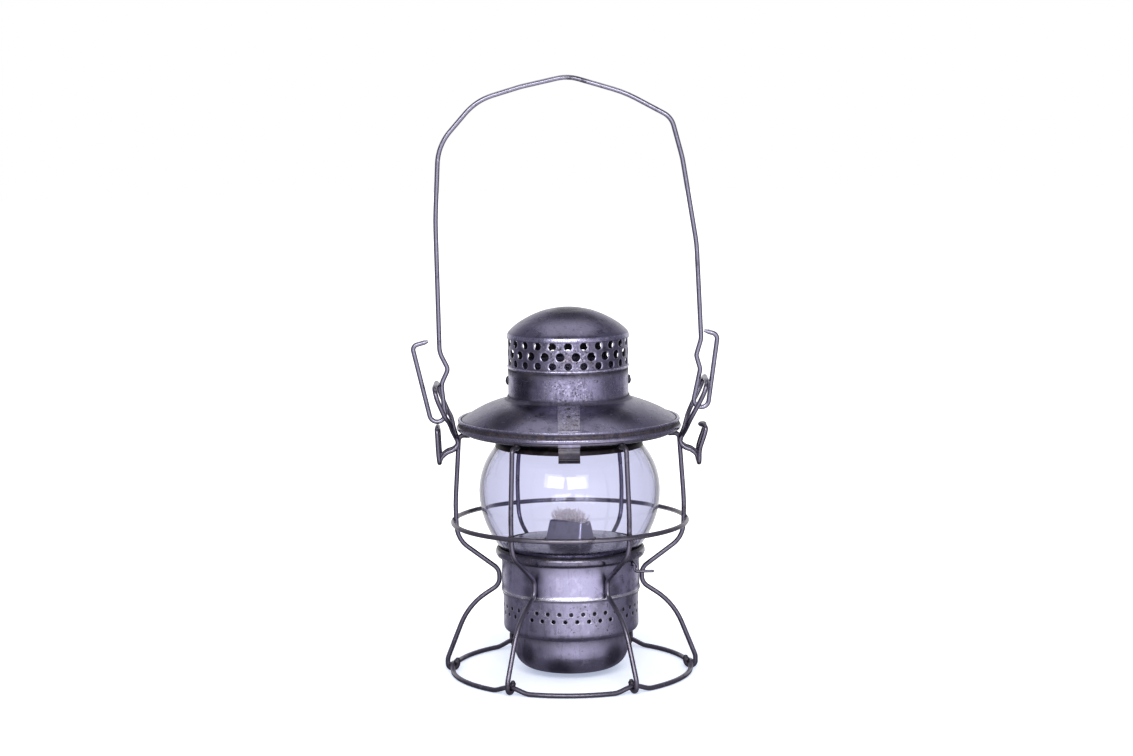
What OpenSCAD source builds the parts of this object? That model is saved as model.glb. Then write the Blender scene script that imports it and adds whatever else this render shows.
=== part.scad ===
// Railroad hand lantern: wire guard frame, clear globe, hinged vented lid, drop-out oil fount and wire bail.
// +Z is up and the front, where the lid latch hangs, faces -Y. The origin is on the ground under the lantern's axis.

/* [Wire frame] */
// Diameter of the wire of the guards, rings and bail
wire_d = 3.2; // [2.8:0.1:3.6]
// Centreline radius of the ring that the lantern stands on
base_ring_r = 79.2; // [74:0.2:84]
// Half angle over which the base ring rises onto each foot, in degrees
foot_rise_angle = 15; // [11:1:20]
// Height of the guard ring around the globe
guard_ring_z = 100.9; // [98:0.5:103]
// Depth to which the guard ring is welded into the upright wires
weld_bite = 1.2; // [0.4:0.1:1.4]
// Largest centreline radius of the upright wires
bow_r = 75.6; // [74.5:0.1:78]
// Height of the widest point of the upright wires
bow_z = 112; // [109:0.5:118]
// Centreline radius of the upright wires under the lid
shoulder_r = 72.5; // [72:0.1:73.4]
// Height of the upper bend, where the wires turn in to the shell
knee_z = 88.9; // [87:0.1:91]
// Height where the wires reach the shell
waist_top_z = 68.4; // [67:0.1:70]
// Height where the wires leave the shell
waist_bottom_z = 58.3; // [56:0.1:60]
// Radius of the lower bend of the upright wires
hip_r = 68.2; // [64:0.2:71]
// Height of the lower bend of the upright wires
hip_z = 44.5; // [40:0.5:48]
// Distance from the ring under the lid out to the upright wires
shoulder_reach = 5.3; // [4.9:0.1:6.5]

/* [Shell] */
// Thickness of the sheet metal
sheet = 0.6; // [0.5:0.05:0.8]
// Outer radius of the upper half of the shell
shell_r = 45.6; // [44.5:0.1:47]
// Step inwards from the upper to the perforated lower half of the shell
shell_step = 0.8; // [0.4:0.1:1.6]
// Height of the bottom lip of the shell
shell_bottom_z = 27.2; // [24:0.2:30]
// Height of the bead between the two halves
shell_bead_z = 56; // [54:0.2:58]
// Height of the swage that holds the globe
gallery_z = 81.1; // [80.5:0.1:82]
// Radius of the round of that swage
gallery_bulge = 3.9; // [3.4:0.1:4.1]
// Diameter of the small air holes
air_hole_d = 2.4; // [1.6:0.1:3]
// Number of air holes in a row
air_holes = 36; // [24:1:40]
// Height of the upper row of air holes
air_row_z = 46.4; // [45:0.1:48]
// Distance between the two rows of air holes
air_row_gap = 4.8; // [4:0.1:6]

/* [Globe] */
// Largest radius of the glass
globe_r = 59.7; // [57:0.1:61]
// Height of the largest radius
globe_belly_z = 121.5; // [119:0.5:123]
// Profile radius of the glass above the belly
globe_upper_arc = 45.5; // [44:0.5:47]
// How far the foot of the glass stands inside the wall of the shell
foot_inset = 0.02; // [0:0.02:0.6]
// Thickness of the glass
glass = 3; // [2:0.1:3.4]
// Outer radius of the straight neck of the glass
globe_neck_r = 42.6; // [41.5:0.1:43.4]
// Height of the straight neck of the glass
globe_neck_h = 4.45; // [3:0.05:5.4]

/* [Lid] */
// Outer radius of the chimney collar
collar_r = 39.6; // [38:0.1:40.4]
// Height of the brim where it meets the collar
brim_top_z = 182.6; // [181:0.2:185]
// Distance from the upright wires in to the groove near the edge of the brim
groove_inset = 2.2; // [1.4:0.1:2.4]
// Height of the groove
groove_z = 169.3; // [168.6:0.1:170.4]
// Height of the rolled edge of the brim
rim_bead_z = 162; // [161.9:0.05:162.3]
// Radius of the roll of the brim's edge
rim_bead_r = 1.8; // [1.6:0.05:1.85]
// Height of the joint between the collar and the vent band
seam_z = 201.8; // [198:0.2:203]
// Height of the bead of the vent band above that joint
vent_bead_rise = 2.2; // [1.8:0.1:3]
// Height of the skirt of the dome
dome_skirt_z = 224.3; // [223.8:0.1:227]
// Height of the rounded shoulder of the dome above its skirt
dome_shoulder_h = 4.6; // [4:0.1:6]
// Profile radius of the top of the dome
dome_arc = 54; // [48:1:64]
// Number of vent holes in a row
vents = 24; // [18:1:26]
// Distance between the rows of vent holes
vent_row_gap = 6.6; // [6.2:0.1:7]
// Diameters of the vent holes, from the top row down
vent_d = [4.4, 5.3, 4.7];

/* [Retainer] */
// Outer radius of the ring that holds the globe down
retainer_r = 48.3; // [47.4:0.1:49.5]
// Diameter of the wire of its spring
spring_wire_d = 1.2; // [0.8:0.1:1.6]
// Number of turns of its spring
spring_turns = 3; // [2:1:5]

/* [Lid latch] */
// Width of the latch strap
strap_w = 14.4; // [10:0.2:16]
// Thickness of the latch strap
strap_t = 0.7; // [0.5:0.05:0.8]
// Height of the lower end of the latch
latch_end_z = 151.2; // [150:0.1:153]

/* [Lid hinge] */
// Radius of the hinge pin
pin_r = 1.25; // [1:0.05:1.5]
// Height of the hinge pin
pin_z = 158.2; // [157.6:0.1:158.4]
// Half width of the hinge
hinge_half_w = 9; // [8:0.2:11]

/* [Fount] */
// Outer radius of the oil fount
fount_r = 37.6; // [35:0.1:38.5]
// Height of the bottom of the fount above the ground
fount_bottom_z = 3.2; // [2:0.1:6]
// Radius of the rounded lower edge of the fount
fount_round = 13; // [9:0.5:15]
// Height of the top edge of the fount
fount_top_z = 62; // [60.5:0.5:64]
// Radius of the neck that the burner screws into
neck_r = 16.9; // [15:0.1:18]
// Width of each locking lug, in degrees
lug_angle = 22; // [14:1:26]
// Turn that frees the fount, in degrees
fount_turn = 32; // [28:1:38]

/* [Burner] */
// Turn of the burner about the lantern's axis, in degrees
burner_yaw = -35; // [-60:1:60]
// Radius of the round top of the burner
burner_r = 17.2; // [16.8:0.1:18.5]
// Height of the deck around the burner
deck_z = 86.9; // [86:0.1:88]
// Width of the foot of the flame hood
hood_w = 25.6; // [23.5:0.1:27]
// Depth of the foot of the flame hood
hood_d = 16.4; // [14:0.1:18]
// Height of the flame hood
hood_h = 12.6; // [10:0.1:15]
// Width of the wick
wick_w = 21.8; // [18:0.1:22]
// Thickness of the wick
wick_t = 1.8; // [1.4:0.1:2.2]
// Height of the wick above the hood
wick_show = 8.2; // [5:0.1:9]
// Radius of the toothed wheels that feed the wick
feed_r = 3.5; // [3:0.1:4]

/* [Bail and ears] */
// Height of the top of the bail's arch
bail_top_z = 392.8; // [380:1:404]
// Half width of the ears across the lantern
ear_half_w = 20; // [19.8:0.1:21.5]
// Height of the top bar of the ears
ear_top_z = 194; // [193.5:0.1:195.5]
// Height of the bar that the left end of the bail stands on
rest_bar_z = 164; // [162:0.1:164.2]

/* [Fount catch] */
// Diameter of the wire of the catch
catch_d = 2; // [1.6:0.1:2.2]
// Place of the catch around the shell, in degrees from the front
catch_az = 62; // [55:1:66]
// Length of the thumb arm of the catch
catch_arm = 13; // [9:0.5:16]

/* [Hidden] */
$fn = 96;

wire_r = wire_d / 2;
wire_fn = 36;
touch = 0.05;
seat_gap = 0.3;
run_fit = 0.05;

tin = "#8d8b9a";
dark_tin = "#62606e";
wire_grey = "#6b6873";
clear_glass = [0.85, 0.87, 1, 0.3];
brass_dark = "#6d675f";
cotton = "#d8d0c4";

// Feet of the six upright wires, in degrees from the front towards the right.
feet = [-90, -30, 30, 90, 150, 210];

function unit(v) = v / norm(v);
function turn(a, b) = atan2(a.x * b.y - a.y * b.x, a * b);
function perp(v) = [-v.y, v.x];
function at_az(az, r, z) = [r * sin(az), -r * cos(az), z];

// Upright wire, as [radius, height, bend radius] from under the top ring to the tip of the foot hook.
top_ring_r = shoulder_r - shoulder_reach;
leg_top_z = rim_bead_z - rim_bead_r - seat_gap - wire_r;
waist_r = shell_r + wire_r + touch;
foot_r = base_ring_r + wire_d + touch;
foot_hook_r = wire_d;
top_bend_r = 3.4;
leg_slope_z = 46;
foot_bend_z = hip_z - 36;
leg_path = [
    [top_ring_r - wire_d, leg_top_z, 0],
    [shoulder_r, leg_top_z, top_bend_r],
    [bow_r, bow_z, 140],
    [bow_r - 0.9, knee_z, 16],
    [waist_r, waist_top_z, 5],
    [waist_r, waist_bottom_z, 5],
    [hip_r, hip_z, 24],
    [foot_r, foot_bend_z, 9],
    [foot_r, wire_r, foot_hook_r],
    [base_ring_r - wire_d - touch, wire_r, foot_hook_r],
    [base_ring_r - wire_d - touch, wire_r + 2.2 * wire_d, 0]];
bow_line = [leg_path[3].x - leg_path[2].x, leg_path[3].y - leg_path[2].y];
leg_at_guard = bow_r + bow_line.x * (guard_ring_z - bow_z) / bow_line.y;
guard_ring_r = leg_at_guard + wire_d - weld_bite;
top_ring_z = leg_top_z + wire_d + touch;

// Shell and gallery.
lower_shell_r = shell_r - shell_step;
lip_r = fount_r + 0.4;
bead_out = 0.6;
gallery_floor_z = gallery_z - 1.4;
bayonet_z = shell_bead_z - 3;
bayonet_in_r = fount_r + 1.2;

// Globe: two arcs that meet at the belly; the lower one runs to a foot that fits the shell.
globe_foot_z = gallery_floor_z + sheet + seat_gap;
foot_z = globe_foot_z + 2.6;
foot_narrowing = globe_r - (shell_r - foot_inset);
globe_lower_arc = (pow(globe_belly_z - foot_z, 2) + pow(foot_narrowing, 2)) / (2 * foot_narrowing);
upper_c = globe_r - globe_upper_arc;
lower_c = globe_r - globe_lower_arc;
function lower_glass(z, t) = lower_c + sqrt(pow(globe_lower_arc - t, 2) - pow(z - globe_belly_z, 2));
function upper_glass(z, t) = upper_c + sqrt(pow(globe_upper_arc - t, 2) - pow(z - globe_belly_z, 2));
globe_foot_r = lower_glass(foot_z, 0);
globe_foot_in = globe_foot_r - glass;
neck_z = globe_belly_z + sqrt(pow(globe_upper_arc, 2) - pow(globe_neck_r - upper_c, 2));
neck_in_z = globe_belly_z + sqrt(pow(globe_upper_arc - glass, 2) - pow(globe_neck_r - glass - upper_c, 2));
globe_top_z = neck_z + globe_neck_h;
arc_steps = 14;
deck_r = globe_foot_in - 0.9;
gallery_floor_r = deck_r + touch;

// Lid.
collar_bottom_z = globe_top_z + 3;
vent_r = collar_r - 0.1;
vent_bead_z = seam_z + vent_bead_rise;
vent_bead_out = 1;
dome_r = vent_r + sheet + touch;
dome_flat_r = dome_r - dome_shoulder_h * 0.9;
dome_rise = dome_arc - sqrt(dome_arc * dome_arc - dome_flat_r * dome_flat_r);
dome_top_z = dome_skirt_z + dome_shoulder_h + dome_rise;
vent_top_z = dome_skirt_z - 3.4;
groove_r = shoulder_r - groove_inset;
brim_fall = brim_top_z - groove_z;
brim_run = groove_r - collar_r;
rim_c = [groove_r + 1.7, rim_bead_z];
rim_edge_r = rim_c.x + rim_bead_r;

// Retainer.
glass_touch_z = globe_belly_z + sqrt(pow(globe_upper_arc, 2) - pow(retainer_r - sheet - upper_c, 2));
retainer_low_z = glass_touch_z + 0.4;
retainer_lift = 2.5;
sleeve_r = collar_r + sheet + 0.15;
spring_r = sleeve_r + spring_wire_d / 2 + 1;
retainer_flange_z = globe_top_z + 2.4;
retainer_sleeve_h = 8.6;
spring_low_z = retainer_flange_z + seat_gap + spring_wire_d / 2;
spring_high_z = brim_z(spring_r) - sheet * 1.05 - spring_wire_d / 2 - touch;

// Latch.
latch_r = top_ring_r + wire_r + seat_gap;
latch_pivot_z = top_ring_z - wire_r - 0.3;
strap_groove_z = brim_z(latch_r);

// Hinge.
knuckle_r = pin_r + 1.05;
pin_y = rim_edge_r + knuckle_r + 0.3;
knuckle_half = hinge_half_w * 0.44;
leaf_gap = 0.3;

// Fount and burner.
cup_flat_r = fount_r - fount_round;
lug_z = bayonet_z + sheet + 0.2;
lug_t = 1.6;
lug_r = fount_r + 3.4;
neck_top_z = fount_top_z + 11;
burner_base_z = neck_top_z - 5;
burner_top_z = deck_z + 1.2;
tube_w = wick_w + 1.6;
tube_t = wick_t + 1.4;
tube_wall = 0.4;
hood_z = burner_top_z + touch;
hood_top_w = tube_w + 0.5;
hood_top_d = hood_d - 6.1;
wick_top_z = hood_z + hood_h + wick_show;
shaft_z = deck_z - 8.6;
shaft_y = wick_t / 2 + 0.15 + feed_r;
shaft_d = 1.8;
knob_out = 33;
knob_r = 4.6;

// Catch.
catch_r = shell_r + catch_d / 2 + 0.7;
catch_high_z = gallery_z - gallery_bulge - catch_d / 2 - 0.3;
catch_low_z = catch_high_z - 5.6;

// Height of the outer face of the brim at radius r: a soft hump that falls to the groove.
function brim_z(r) = let (u = (r - collar_r) / brim_run) brim_top_z - brim_fall * (0.42 * u + 0.58 * u * u);
// Slope of that face, and the height over it of something that lies at the distance d from it.
function brim_slope(r) = brim_fall / brim_run * (0.42 + 1.16 * (r - collar_r) / brim_run);
function over_brim_z(r, d) = brim_z(r) + d * sqrt(1 + pow(brim_slope(r), 2));

// Outline of a bent sheet whose outer face runs through pts, t thick on its right hand side.
function face_normal(pts, i) = let (
    a = i > 0 ? unit(pts[i] - pts[i - 1]) : unit(pts[1] - pts[0]),
    b = i < len(pts) - 1 ? unit(pts[i + 1] - pts[i]) : a,
    m = unit(perp(a) + perp(b)))
    m / (m * perp(a));
function sheet_outline(pts, t) = concat(pts, [for (i = [len(pts) - 1:-1:0]) pts[i] - t * face_normal(pts, i)]);

// Points on an arc about c from angle a0 to a1.
function arc(c, r, a0, a1, n) = [for (i = [0:n]) c + r * [cos(a0 + (a1 - a0) * i / n), sin(a0 + (a1 - a0) * i / n)]];

module spun_sheet(pts, t) {
    rotate_extrude() polygon(sheet_outline(pts, t));
}

// Round wire through flat points [x, y, bend radius], in the XY plane: straight runs and true bends.
module bent_wire(path, d) {
    last = len(path) - 1;
    p = [for (q = path) [q.x, q.y]];
    dirs = [for (i = [0:last - 1]) unit(p[i + 1] - p[i])];
    turns = [for (i = [0:last]) i == 0 || i == last ? 0 : turn(dirs[i - 1], dirs[i])];
    cuts = [for (i = [0:last]) path[i].z * tan(abs(turns[i]) / 2)];
    for (i = [0:last - 1]) {
        a = p[i] + dirs[i] * cuts[i];
        b = p[i + 1] - dirs[i] * cuts[i + 1];
        if (norm(b - a) > 0.01)
            translate([a.x, a.y, 0])
                rotate([0, 90, atan2(dirs[i].y, dirs[i].x)])
                    cylinder(h = norm(b - a), d = d, $fn = wire_fn);
    }
    for (i = [1:last - 1]) {
        side = sign(turns[i]);
        a = p[i] - dirs[i - 1] * cuts[i];
        c = a + perp(dirs[i - 1]) * side * path[i].z;
        from = atan2(a.y - c.y, a.x - c.x);
        translate([c.x, c.y, 0])
            rotate([0, 0, side > 0 ? from : from - abs(turns[i])])
                rotate_extrude(angle = abs(turns[i]), $fn = 72)
                    translate([path[i].z, 0]) circle(d = d, $fn = wire_fn);
    }
}

// The same path as centre points with their direction, each bend cut into steps of at most bend_step degrees.
bend_step = 14;
function path_points(path) = let (
    last = len(path) - 1,
    p = [for (q = path) [q.x, q.y]],
    dirs = [for (i = [0:last - 1]) unit(p[i + 1] - p[i])],
    turns = [for (i = [0:last]) i == 0 || i == last ? 0 : turn(dirs[i - 1], dirs[i])])
    [for (i = [0:last]) let (
        a = abs(turns[i]),
        side = sign(turns[i]),
        before = dirs[max(i - 1, 0)],
        start = p[i] - before * path[i].z * tan(a / 2),
        c = start + perp(before) * side * path[i].z,
        n = a > 0 ? max(2, ceil(a / bend_step)) : 0)
        each [for (k = [0:n]) n == 0 ? [p[i], before] : let (w = turns[i] * k / n)
            [c - side * path[i].z * (perp(before) * cos(w) - before * sin(w)), before * cos(w) + perp(before) * sin(w)]]];

// Wire through the same kind of path, eight flat sides round it.
wire_sides = 8;
wire_corner_r = wire_r / cos(180 / wire_sides);
module swept_wire(path) {
    stations = path_points(path);
    last = len(stations) - 1;
    rings = [for (s = stations, k = [0:wire_sides - 1]) let (
        w = 360 * (k + 0.5) / wire_sides,
        u = perp(s[1]) * wire_corner_r * cos(w))
        [s[0].x + u.x, s[0].y + u.y, wire_corner_r * sin(w)]];
    faces = [for (i = [0:last - 1], k = [0:wire_sides - 1]) let (
        a = i * wire_sides + k,
        b = i * wire_sides + (k + 1) % wire_sides)
        each [[a, a + wire_sides, b], [b, a + wire_sides, b + wire_sides]]];
    caps = [[for (k = [0:wire_sides - 1]) k], [for (k = [wire_sides - 1:-1:0]) last * wire_sides + k]];
    polyhedron(rings, concat(faces, caps), convexity = 8);
}

// Closed smooth curve through pts, cut into n steps between two of them.
function curve_at(a, b, c, d, t) = 0.5 * (2 * b + (c - a) * t + (2 * a - 5 * b + 4 * c - d) * t * t
    + (3 * b - a - 3 * c + d) * t * t * t);
function closed_curve(pts, n) = let (m = len(pts)) [for (i = [0:m - 1], k = [0:n - 1])
    curve_at(pts[(i + m - 1) % m], pts[i], pts[(i + 1) % m], pts[(i + 2) % m], k / n)];

// Closed wire along rings of points; out is the way that each section's first flat faces.
module closed_wire(pts, out) {
    m = len(pts);
    sides = wire_sides;
    rings = [for (i = [0:m - 1]) let (
        t = unit(pts[(i + 1) % m] - pts[(i + m - 1) % m]),
        u = unit(out[i] - t * (out[i] * t)),
        v = cross(t, u))
        each [for (k = [0:sides - 1]) let (w = 360 * (k + 0.5) / sides)
            pts[i] + wire_corner_r * (u * cos(w) + v * sin(w))]];
    faces = [for (i = [0:m - 1], k = [0:sides - 1]) let (
        a = i * sides + k,
        b = i * sides + (k + 1) % sides,
        c = ((i + 1) % m) * sides + k,
        e = ((i + 1) % m) * sides + (k + 1) % sides)
        each [[a, c, b], [b, c, e]]];
    polyhedron(rings, faces, convexity = 8);
}

// Base ring: rests on the ground between the feet and rises over the hook of each foot.
function foot_rise(a) = let (off = abs((a + 3600) % 60 - 30))
    off > foot_rise_angle ? 0 : (wire_d + touch) * (0.5 + 0.5 * cos(180 * off / foot_rise_angle));
module base_ring() {
    steps = 96;
    pts = [for (i = [0:steps - 1]) let (a = 360 * i / steps) at_az(a, base_ring_r, wire_r + foot_rise(a))];
    color(wire_grey) difference() {
        closed_wire(pts, [for (p = pts) [p.x, p.y, 0]]);
        translate([0, 0, -wire_d]) cylinder(h = wire_d, r = 2 * base_ring_r);
    }
}

module ring(r, z) {
    translate([0, 0, z]) rotate_extrude($fn = 144) translate([r, 0]) circle(d = wire_d, $fn = wire_fn);
}

module guard_ring() {
    lean = atan2(-bow_line.x, -bow_line.y);
    color(wire_grey) difference() {
        ring(guard_ring_r, guard_ring_z);
        for (az = feet)
            rotate([0, 0, az]) translate([0, -leg_at_guard, guard_ring_z])
                rotate([-lean, 0, 0]) cylinder(h = 4 * wire_d, r = wire_corner_r + touch, center = true, $fn = 48);
    }
}

module top_ring() {
    color(wire_grey) ring(top_ring_r, top_ring_z);
}

module guard_wire(i) {
    color(wire_grey) rotate([0, 0, feet[i] - 90]) rotate([90, 0, 0]) swept_wire(leg_path);
}

// Half of the loop that one ear is bent from, as [outward, across, up], from the middle of its top bar
// down one flank of the upright wire to the middle of the rest bar; outward counts from its foot.
flank_y = wire_d + touch;
ear_base_x = shoulder_r + 0.8;
ear_half = [for (p = [
    [14, 0, ear_top_z],
    [14, ear_half_w - 7.5, ear_top_z],
    [13.5, ear_half_w - 1.5, ear_top_z - 1.9],
    [12.3, ear_half_w, ear_top_z - 6.5],
    [10.4, ear_half_w - 0.2, ear_top_z - 11.5],
    [7.4, ear_half_w - 1.6, ear_top_z - 18.5],
    [4.7, ear_half_w - 5.5, ear_top_z - 25.5],
    [2.9, ear_half_w - 11.5, leg_top_z + 4],
    [1.3, flank_y + 1.2, leg_top_z - 0.3],
    [0, flank_y, leg_top_z - 3.4],
    [0.4, flank_y + 0.1, leg_top_z - 6.5],
    [3.1, flank_y + 0.7, leg_top_z - 9.1],
    [7.1, flank_y + 1.2, leg_top_z - 10.7],
    [10.4, flank_y + 1.3, leg_top_z - 13.5],
    [11.6, flank_y + 1.7, leg_top_z - 17],
    [11.9, flank_y + 3.5, leg_top_z - 18.8],
    [12.1, flank_y + 5.3, leg_top_z - 17],
    [12.6, flank_y + 5.6, leg_top_z - 9.3],
    [13, flank_y + 5.4, rest_bar_z - 5],
    [13.3, flank_y + 3.9, rest_bar_z - 0.9],
    [13.3, 0, rest_bar_z]]) [ear_base_x + p.x, p.y, p.z]];

// The ear leans out by the factor lean above the flank, and side mirrors it.
right_lean = 1.22;
module ear(side, lean) {
    last = len(ear_half) - 1;
    half = [for (p = ear_half) [p.z > leg_top_z - 3.3 && p.x > ear_base_x ? ear_base_x + (p.x - ear_base_x)
        * (p.y > ear_half_w * 0.2 || p.z > rest_bar_z + 9 ? lean : 1) : p.x, p.y, p.z]];
    loop = concat(half, [for (i = [last - 1:-1:1]) [half[i].x, -half[i].y, half[i].z]]);
    pts = closed_curve(loop, 3);
    color(wire_grey) scale([side, 1, 1])
        closed_wire(pts, [for (p = pts) [1, 0, 0]]);
}

module ear_left() {
    mirror([1, 0, 0]) ear(1, 1);
}

module ear_right() {
    ear(1, right_lean);
}

// Upper half of the shell, with the slot of the fount catch.
module upper_shell() {
    color(tin) difference() {
        spun_sheet(concat(
            [[shell_r, gallery_z - gallery_bulge - touch]],
            [[shell_r, shell_bead_z + 2]],
            arc([shell_r - 0.7, shell_bead_z], 1.3, 40, -50, 4),
            [[lower_shell_r + touch + sheet, shell_bead_z - 2.2]]), sheet);
        rotate([0, 0, catch_az]) translate([0, -shell_r, (catch_low_z + catch_high_z) / 2 + 3.4])
            cube([catch_d + 1.8, 8, catch_high_z - catch_low_z + 0.4], center = true);
    }
}

// Lower half of the shell, with two staggered rows of air holes.
module lower_shell() {
    step = 360 / air_holes;
    color(tin) difference() {
        spun_sheet([
            [lower_shell_r, shell_bead_z],
            [lower_shell_r, shell_bottom_z + 4.6],
            [lower_shell_r - 0.7, shell_bottom_z + 2.6],
            [lower_shell_r - 2.6, shell_bottom_z + 1],
            [lip_r + sheet, shell_bottom_z],
            [lip_r, shell_bottom_z]], sheet);
        for (row = [0:1], i = [0:air_holes - 1])
            rotate([0, 0, step * (i + row / 2)])
                translate([0, 2 * sheet - lower_shell_r, air_row_z - row * air_row_gap]) rotate([90, 0, 0])
                    cylinder(h = 4 * sheet, d = air_hole_d, $fn = 24);
    }
}

// Flange inside the shell that carries the fount's lugs, with a gap for each lug to drop through.
module bayonet_ring() {
    inner = lower_shell_r - sheet - touch;
    color(tin) difference() {
        translate([0, 0, bayonet_z]) difference() {
            cylinder(h = sheet, r = inner);
            translate([0, 0, -1]) cylinder(h = sheet + 2, r = bayonet_in_r);
        }
        for (i = [0:2])
            rotate([0, 0, 120 * i + fount_turn - lug_angle / 2 - 3])
                translate([0, 0, bayonet_z - 1])
                    rotate_extrude(angle = lug_angle + 6) square([lug_r + 0.6, sheet + 2]);
    }
}

// Swaged ring that the globe stands in: a half round wall and a floor.
module globe_gallery() {
    wall_c = [shell_r, gallery_z];
    color(tin) union() {
        rotate_extrude() polygon(sheet_outline(arc(wall_c, gallery_bulge, 60, -96, 12), sheet));
        translate([0, 0, gallery_floor_z]) difference() {
            cylinder(h = sheet, r = shell_r + gallery_bulge - sheet / 2);
            translate([0, 0, -1]) cylinder(h = sheet + 2, r = gallery_floor_r);
        }
    }
}

// Raised deck inside the foot of the globe, with the opening for the burner.
module burner_deck() {
    hole_r = burner_r + 0.35;
    color(dark_tin) spun_sheet([
        [hole_r, deck_z + 1.1],
        [hole_r + 8, deck_z + 0.9],
        [deck_r - 8, deck_z + 0.3],
        [deck_r - 1.2, deck_z - 0.3],
        [deck_r, deck_z - 1.6],
        [deck_r, gallery_floor_z]], sheet);
}

module globe() {
    upper = [for (i = [1:arc_steps]) globe_belly_z + (neck_z - globe_belly_z) * sin(90 * i / arc_steps)];
    lower = [for (i = [0:arc_steps]) globe_belly_z - (globe_belly_z - foot_z) * cos(90 * i / arc_steps)];
    in_top = [for (i = [1:arc_steps]) globe_belly_z + (neck_in_z - globe_belly_z) * sin(90 * i / arc_steps)];
    in_foot_z = globe_belly_z - sqrt(pow(globe_lower_arc - glass, 2) - pow(globe_foot_in - lower_c, 2));
    in_low = [for (i = [0:arc_steps]) globe_belly_z - (globe_belly_z - in_foot_z) * cos(90 * i / arc_steps)];
    outside = concat(
        [[globe_foot_r - 0.4, globe_foot_z]],
        [for (z = lower) [lower_glass(z, 0), z]],
        [for (z = upper) [upper_glass(z, 0), z]],
        [[globe_neck_r, globe_top_z]]);
    inside = concat(
        [[globe_foot_in, globe_foot_z]],
        [for (z = in_low) [lower_glass(z, glass), z]],
        [for (z = in_top) [upper_glass(z, glass), z]],
        [[globe_neck_r - glass, globe_top_z]]);
    color(clear_glass) rotate_extrude()
        polygon(concat(outside, [for (i = [len(inside) - 1:-1:0]) inside[i]]));
}

// Frame half of the lid hinge: a tab brazed under the top ring, with the middle knuckle.
module hinge_base() {
    tab_low = leg_top_z - wire_r;
    color(tin) difference() {
        union() {
            translate([-knuckle_half, top_ring_r - wire_r, tab_low])
                cube([2 * knuckle_half, pin_y - top_ring_r + wire_r - pin_r, 1.2]);
            translate([-knuckle_half, top_ring_r - wire_r, tab_low])
                cube([2 * knuckle_half, wire_d, top_ring_z - tab_low]);
            translate([-knuckle_half, pin_y, pin_z]) rotate([0, 90, 0])
                cylinder(h = 2 * knuckle_half, r = knuckle_r, $fn = 48);
        }
        translate([0, 0, top_ring_z]) rotate_extrude($fn = 144)
            translate([top_ring_r, 0]) circle(d = wire_d + 2 * touch, $fn = wire_fn);
        translate([-hinge_half_w, pin_y, pin_z]) rotate([0, 90, 0])
            cylinder(h = 2 * hinge_half_w, r = pin_r + 0.02, $fn = 48);
    }
}

module hinge_pin() {
    color(wire_grey) translate([-hinge_half_w - 0.6, pin_y, pin_z]) rotate([0, 90, 0])
        cylinder(h = 2 * hinge_half_w + 1.2, r = pin_r, $fn = 48);
}

// Lid half of the hinge: a leaf brazed to the edge of the brim, with the two outer knuckles.
module hinge_leaf() {
    leaf_y = rim_edge_r + touch;
    leaf_t = 0.9;
    color(tin) difference() {
        union() {
            translate([-hinge_half_w, leaf_y, pin_z])
                cube([2 * hinge_half_w, leaf_t, groove_z - pin_z - 0.6]);
            translate([-hinge_half_w, pin_y, pin_z]) rotate([0, 90, 0])
                cylinder(h = 2 * hinge_half_w, r = knuckle_r, $fn = 48);
        }
        translate([-knuckle_half - leaf_gap, leaf_y - 4, pin_z - 2 * knuckle_r])
            cube([2 * (knuckle_half + leaf_gap), 4 * knuckle_r + 4, 3 * knuckle_r + 0.6]);
        translate([-hinge_half_w - 1, pin_y, pin_z]) rotate([0, 90, 0])
            cylinder(h = 2 * hinge_half_w + 2, r = pin_r + run_fit, $fn = 48);
    }
}

// Wire lever that keeps the fount from turning: finger through the shell, stem in its eye, thumb arm.
module fount_catch() {
    bend = catch_d;
    finger = [
        [catch_r - 5.4, catch_high_z, 0],
        [catch_r, catch_high_z, bend],
        [catch_r, catch_low_z + bend, 0]];
    arm = [
        [0, catch_low_z + bend, 0],
        [0, catch_low_z, bend],
        [catch_arm, catch_low_z, 0]];
    color(wire_grey) union() {
        rotate([0, 0, catch_az - 90]) rotate([90, 0, 0]) bent_wire(finger, catch_d);
        translate(at_az(catch_az, catch_r, 0)) rotate([90, 0, 0]) bent_wire(arm, catch_d);
    }
}

module catch_eye() {
    eye_h = 1.6;
    color(tin) translate([0, 0, catch_low_z + catch_d + 0.2]) difference() {
        union() {
            translate(at_az(catch_az, catch_r, 0)) cylinder(h = eye_h, r = catch_d / 2 + 0.75, $fn = 48);
            rotate([0, 0, catch_az]) translate([-1.6, -catch_r, 0]) cube([3.2, catch_r - shell_r + 0.6, eye_h]);
        }
        translate([0, 0, -1]) cylinder(h = eye_h + 2, r = shell_r + touch);
        translate(at_az(catch_az, catch_r, -1)) cylinder(h = eye_h + 2, r = catch_d / 2 + run_fit, $fn = 48);
    }
}

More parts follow.
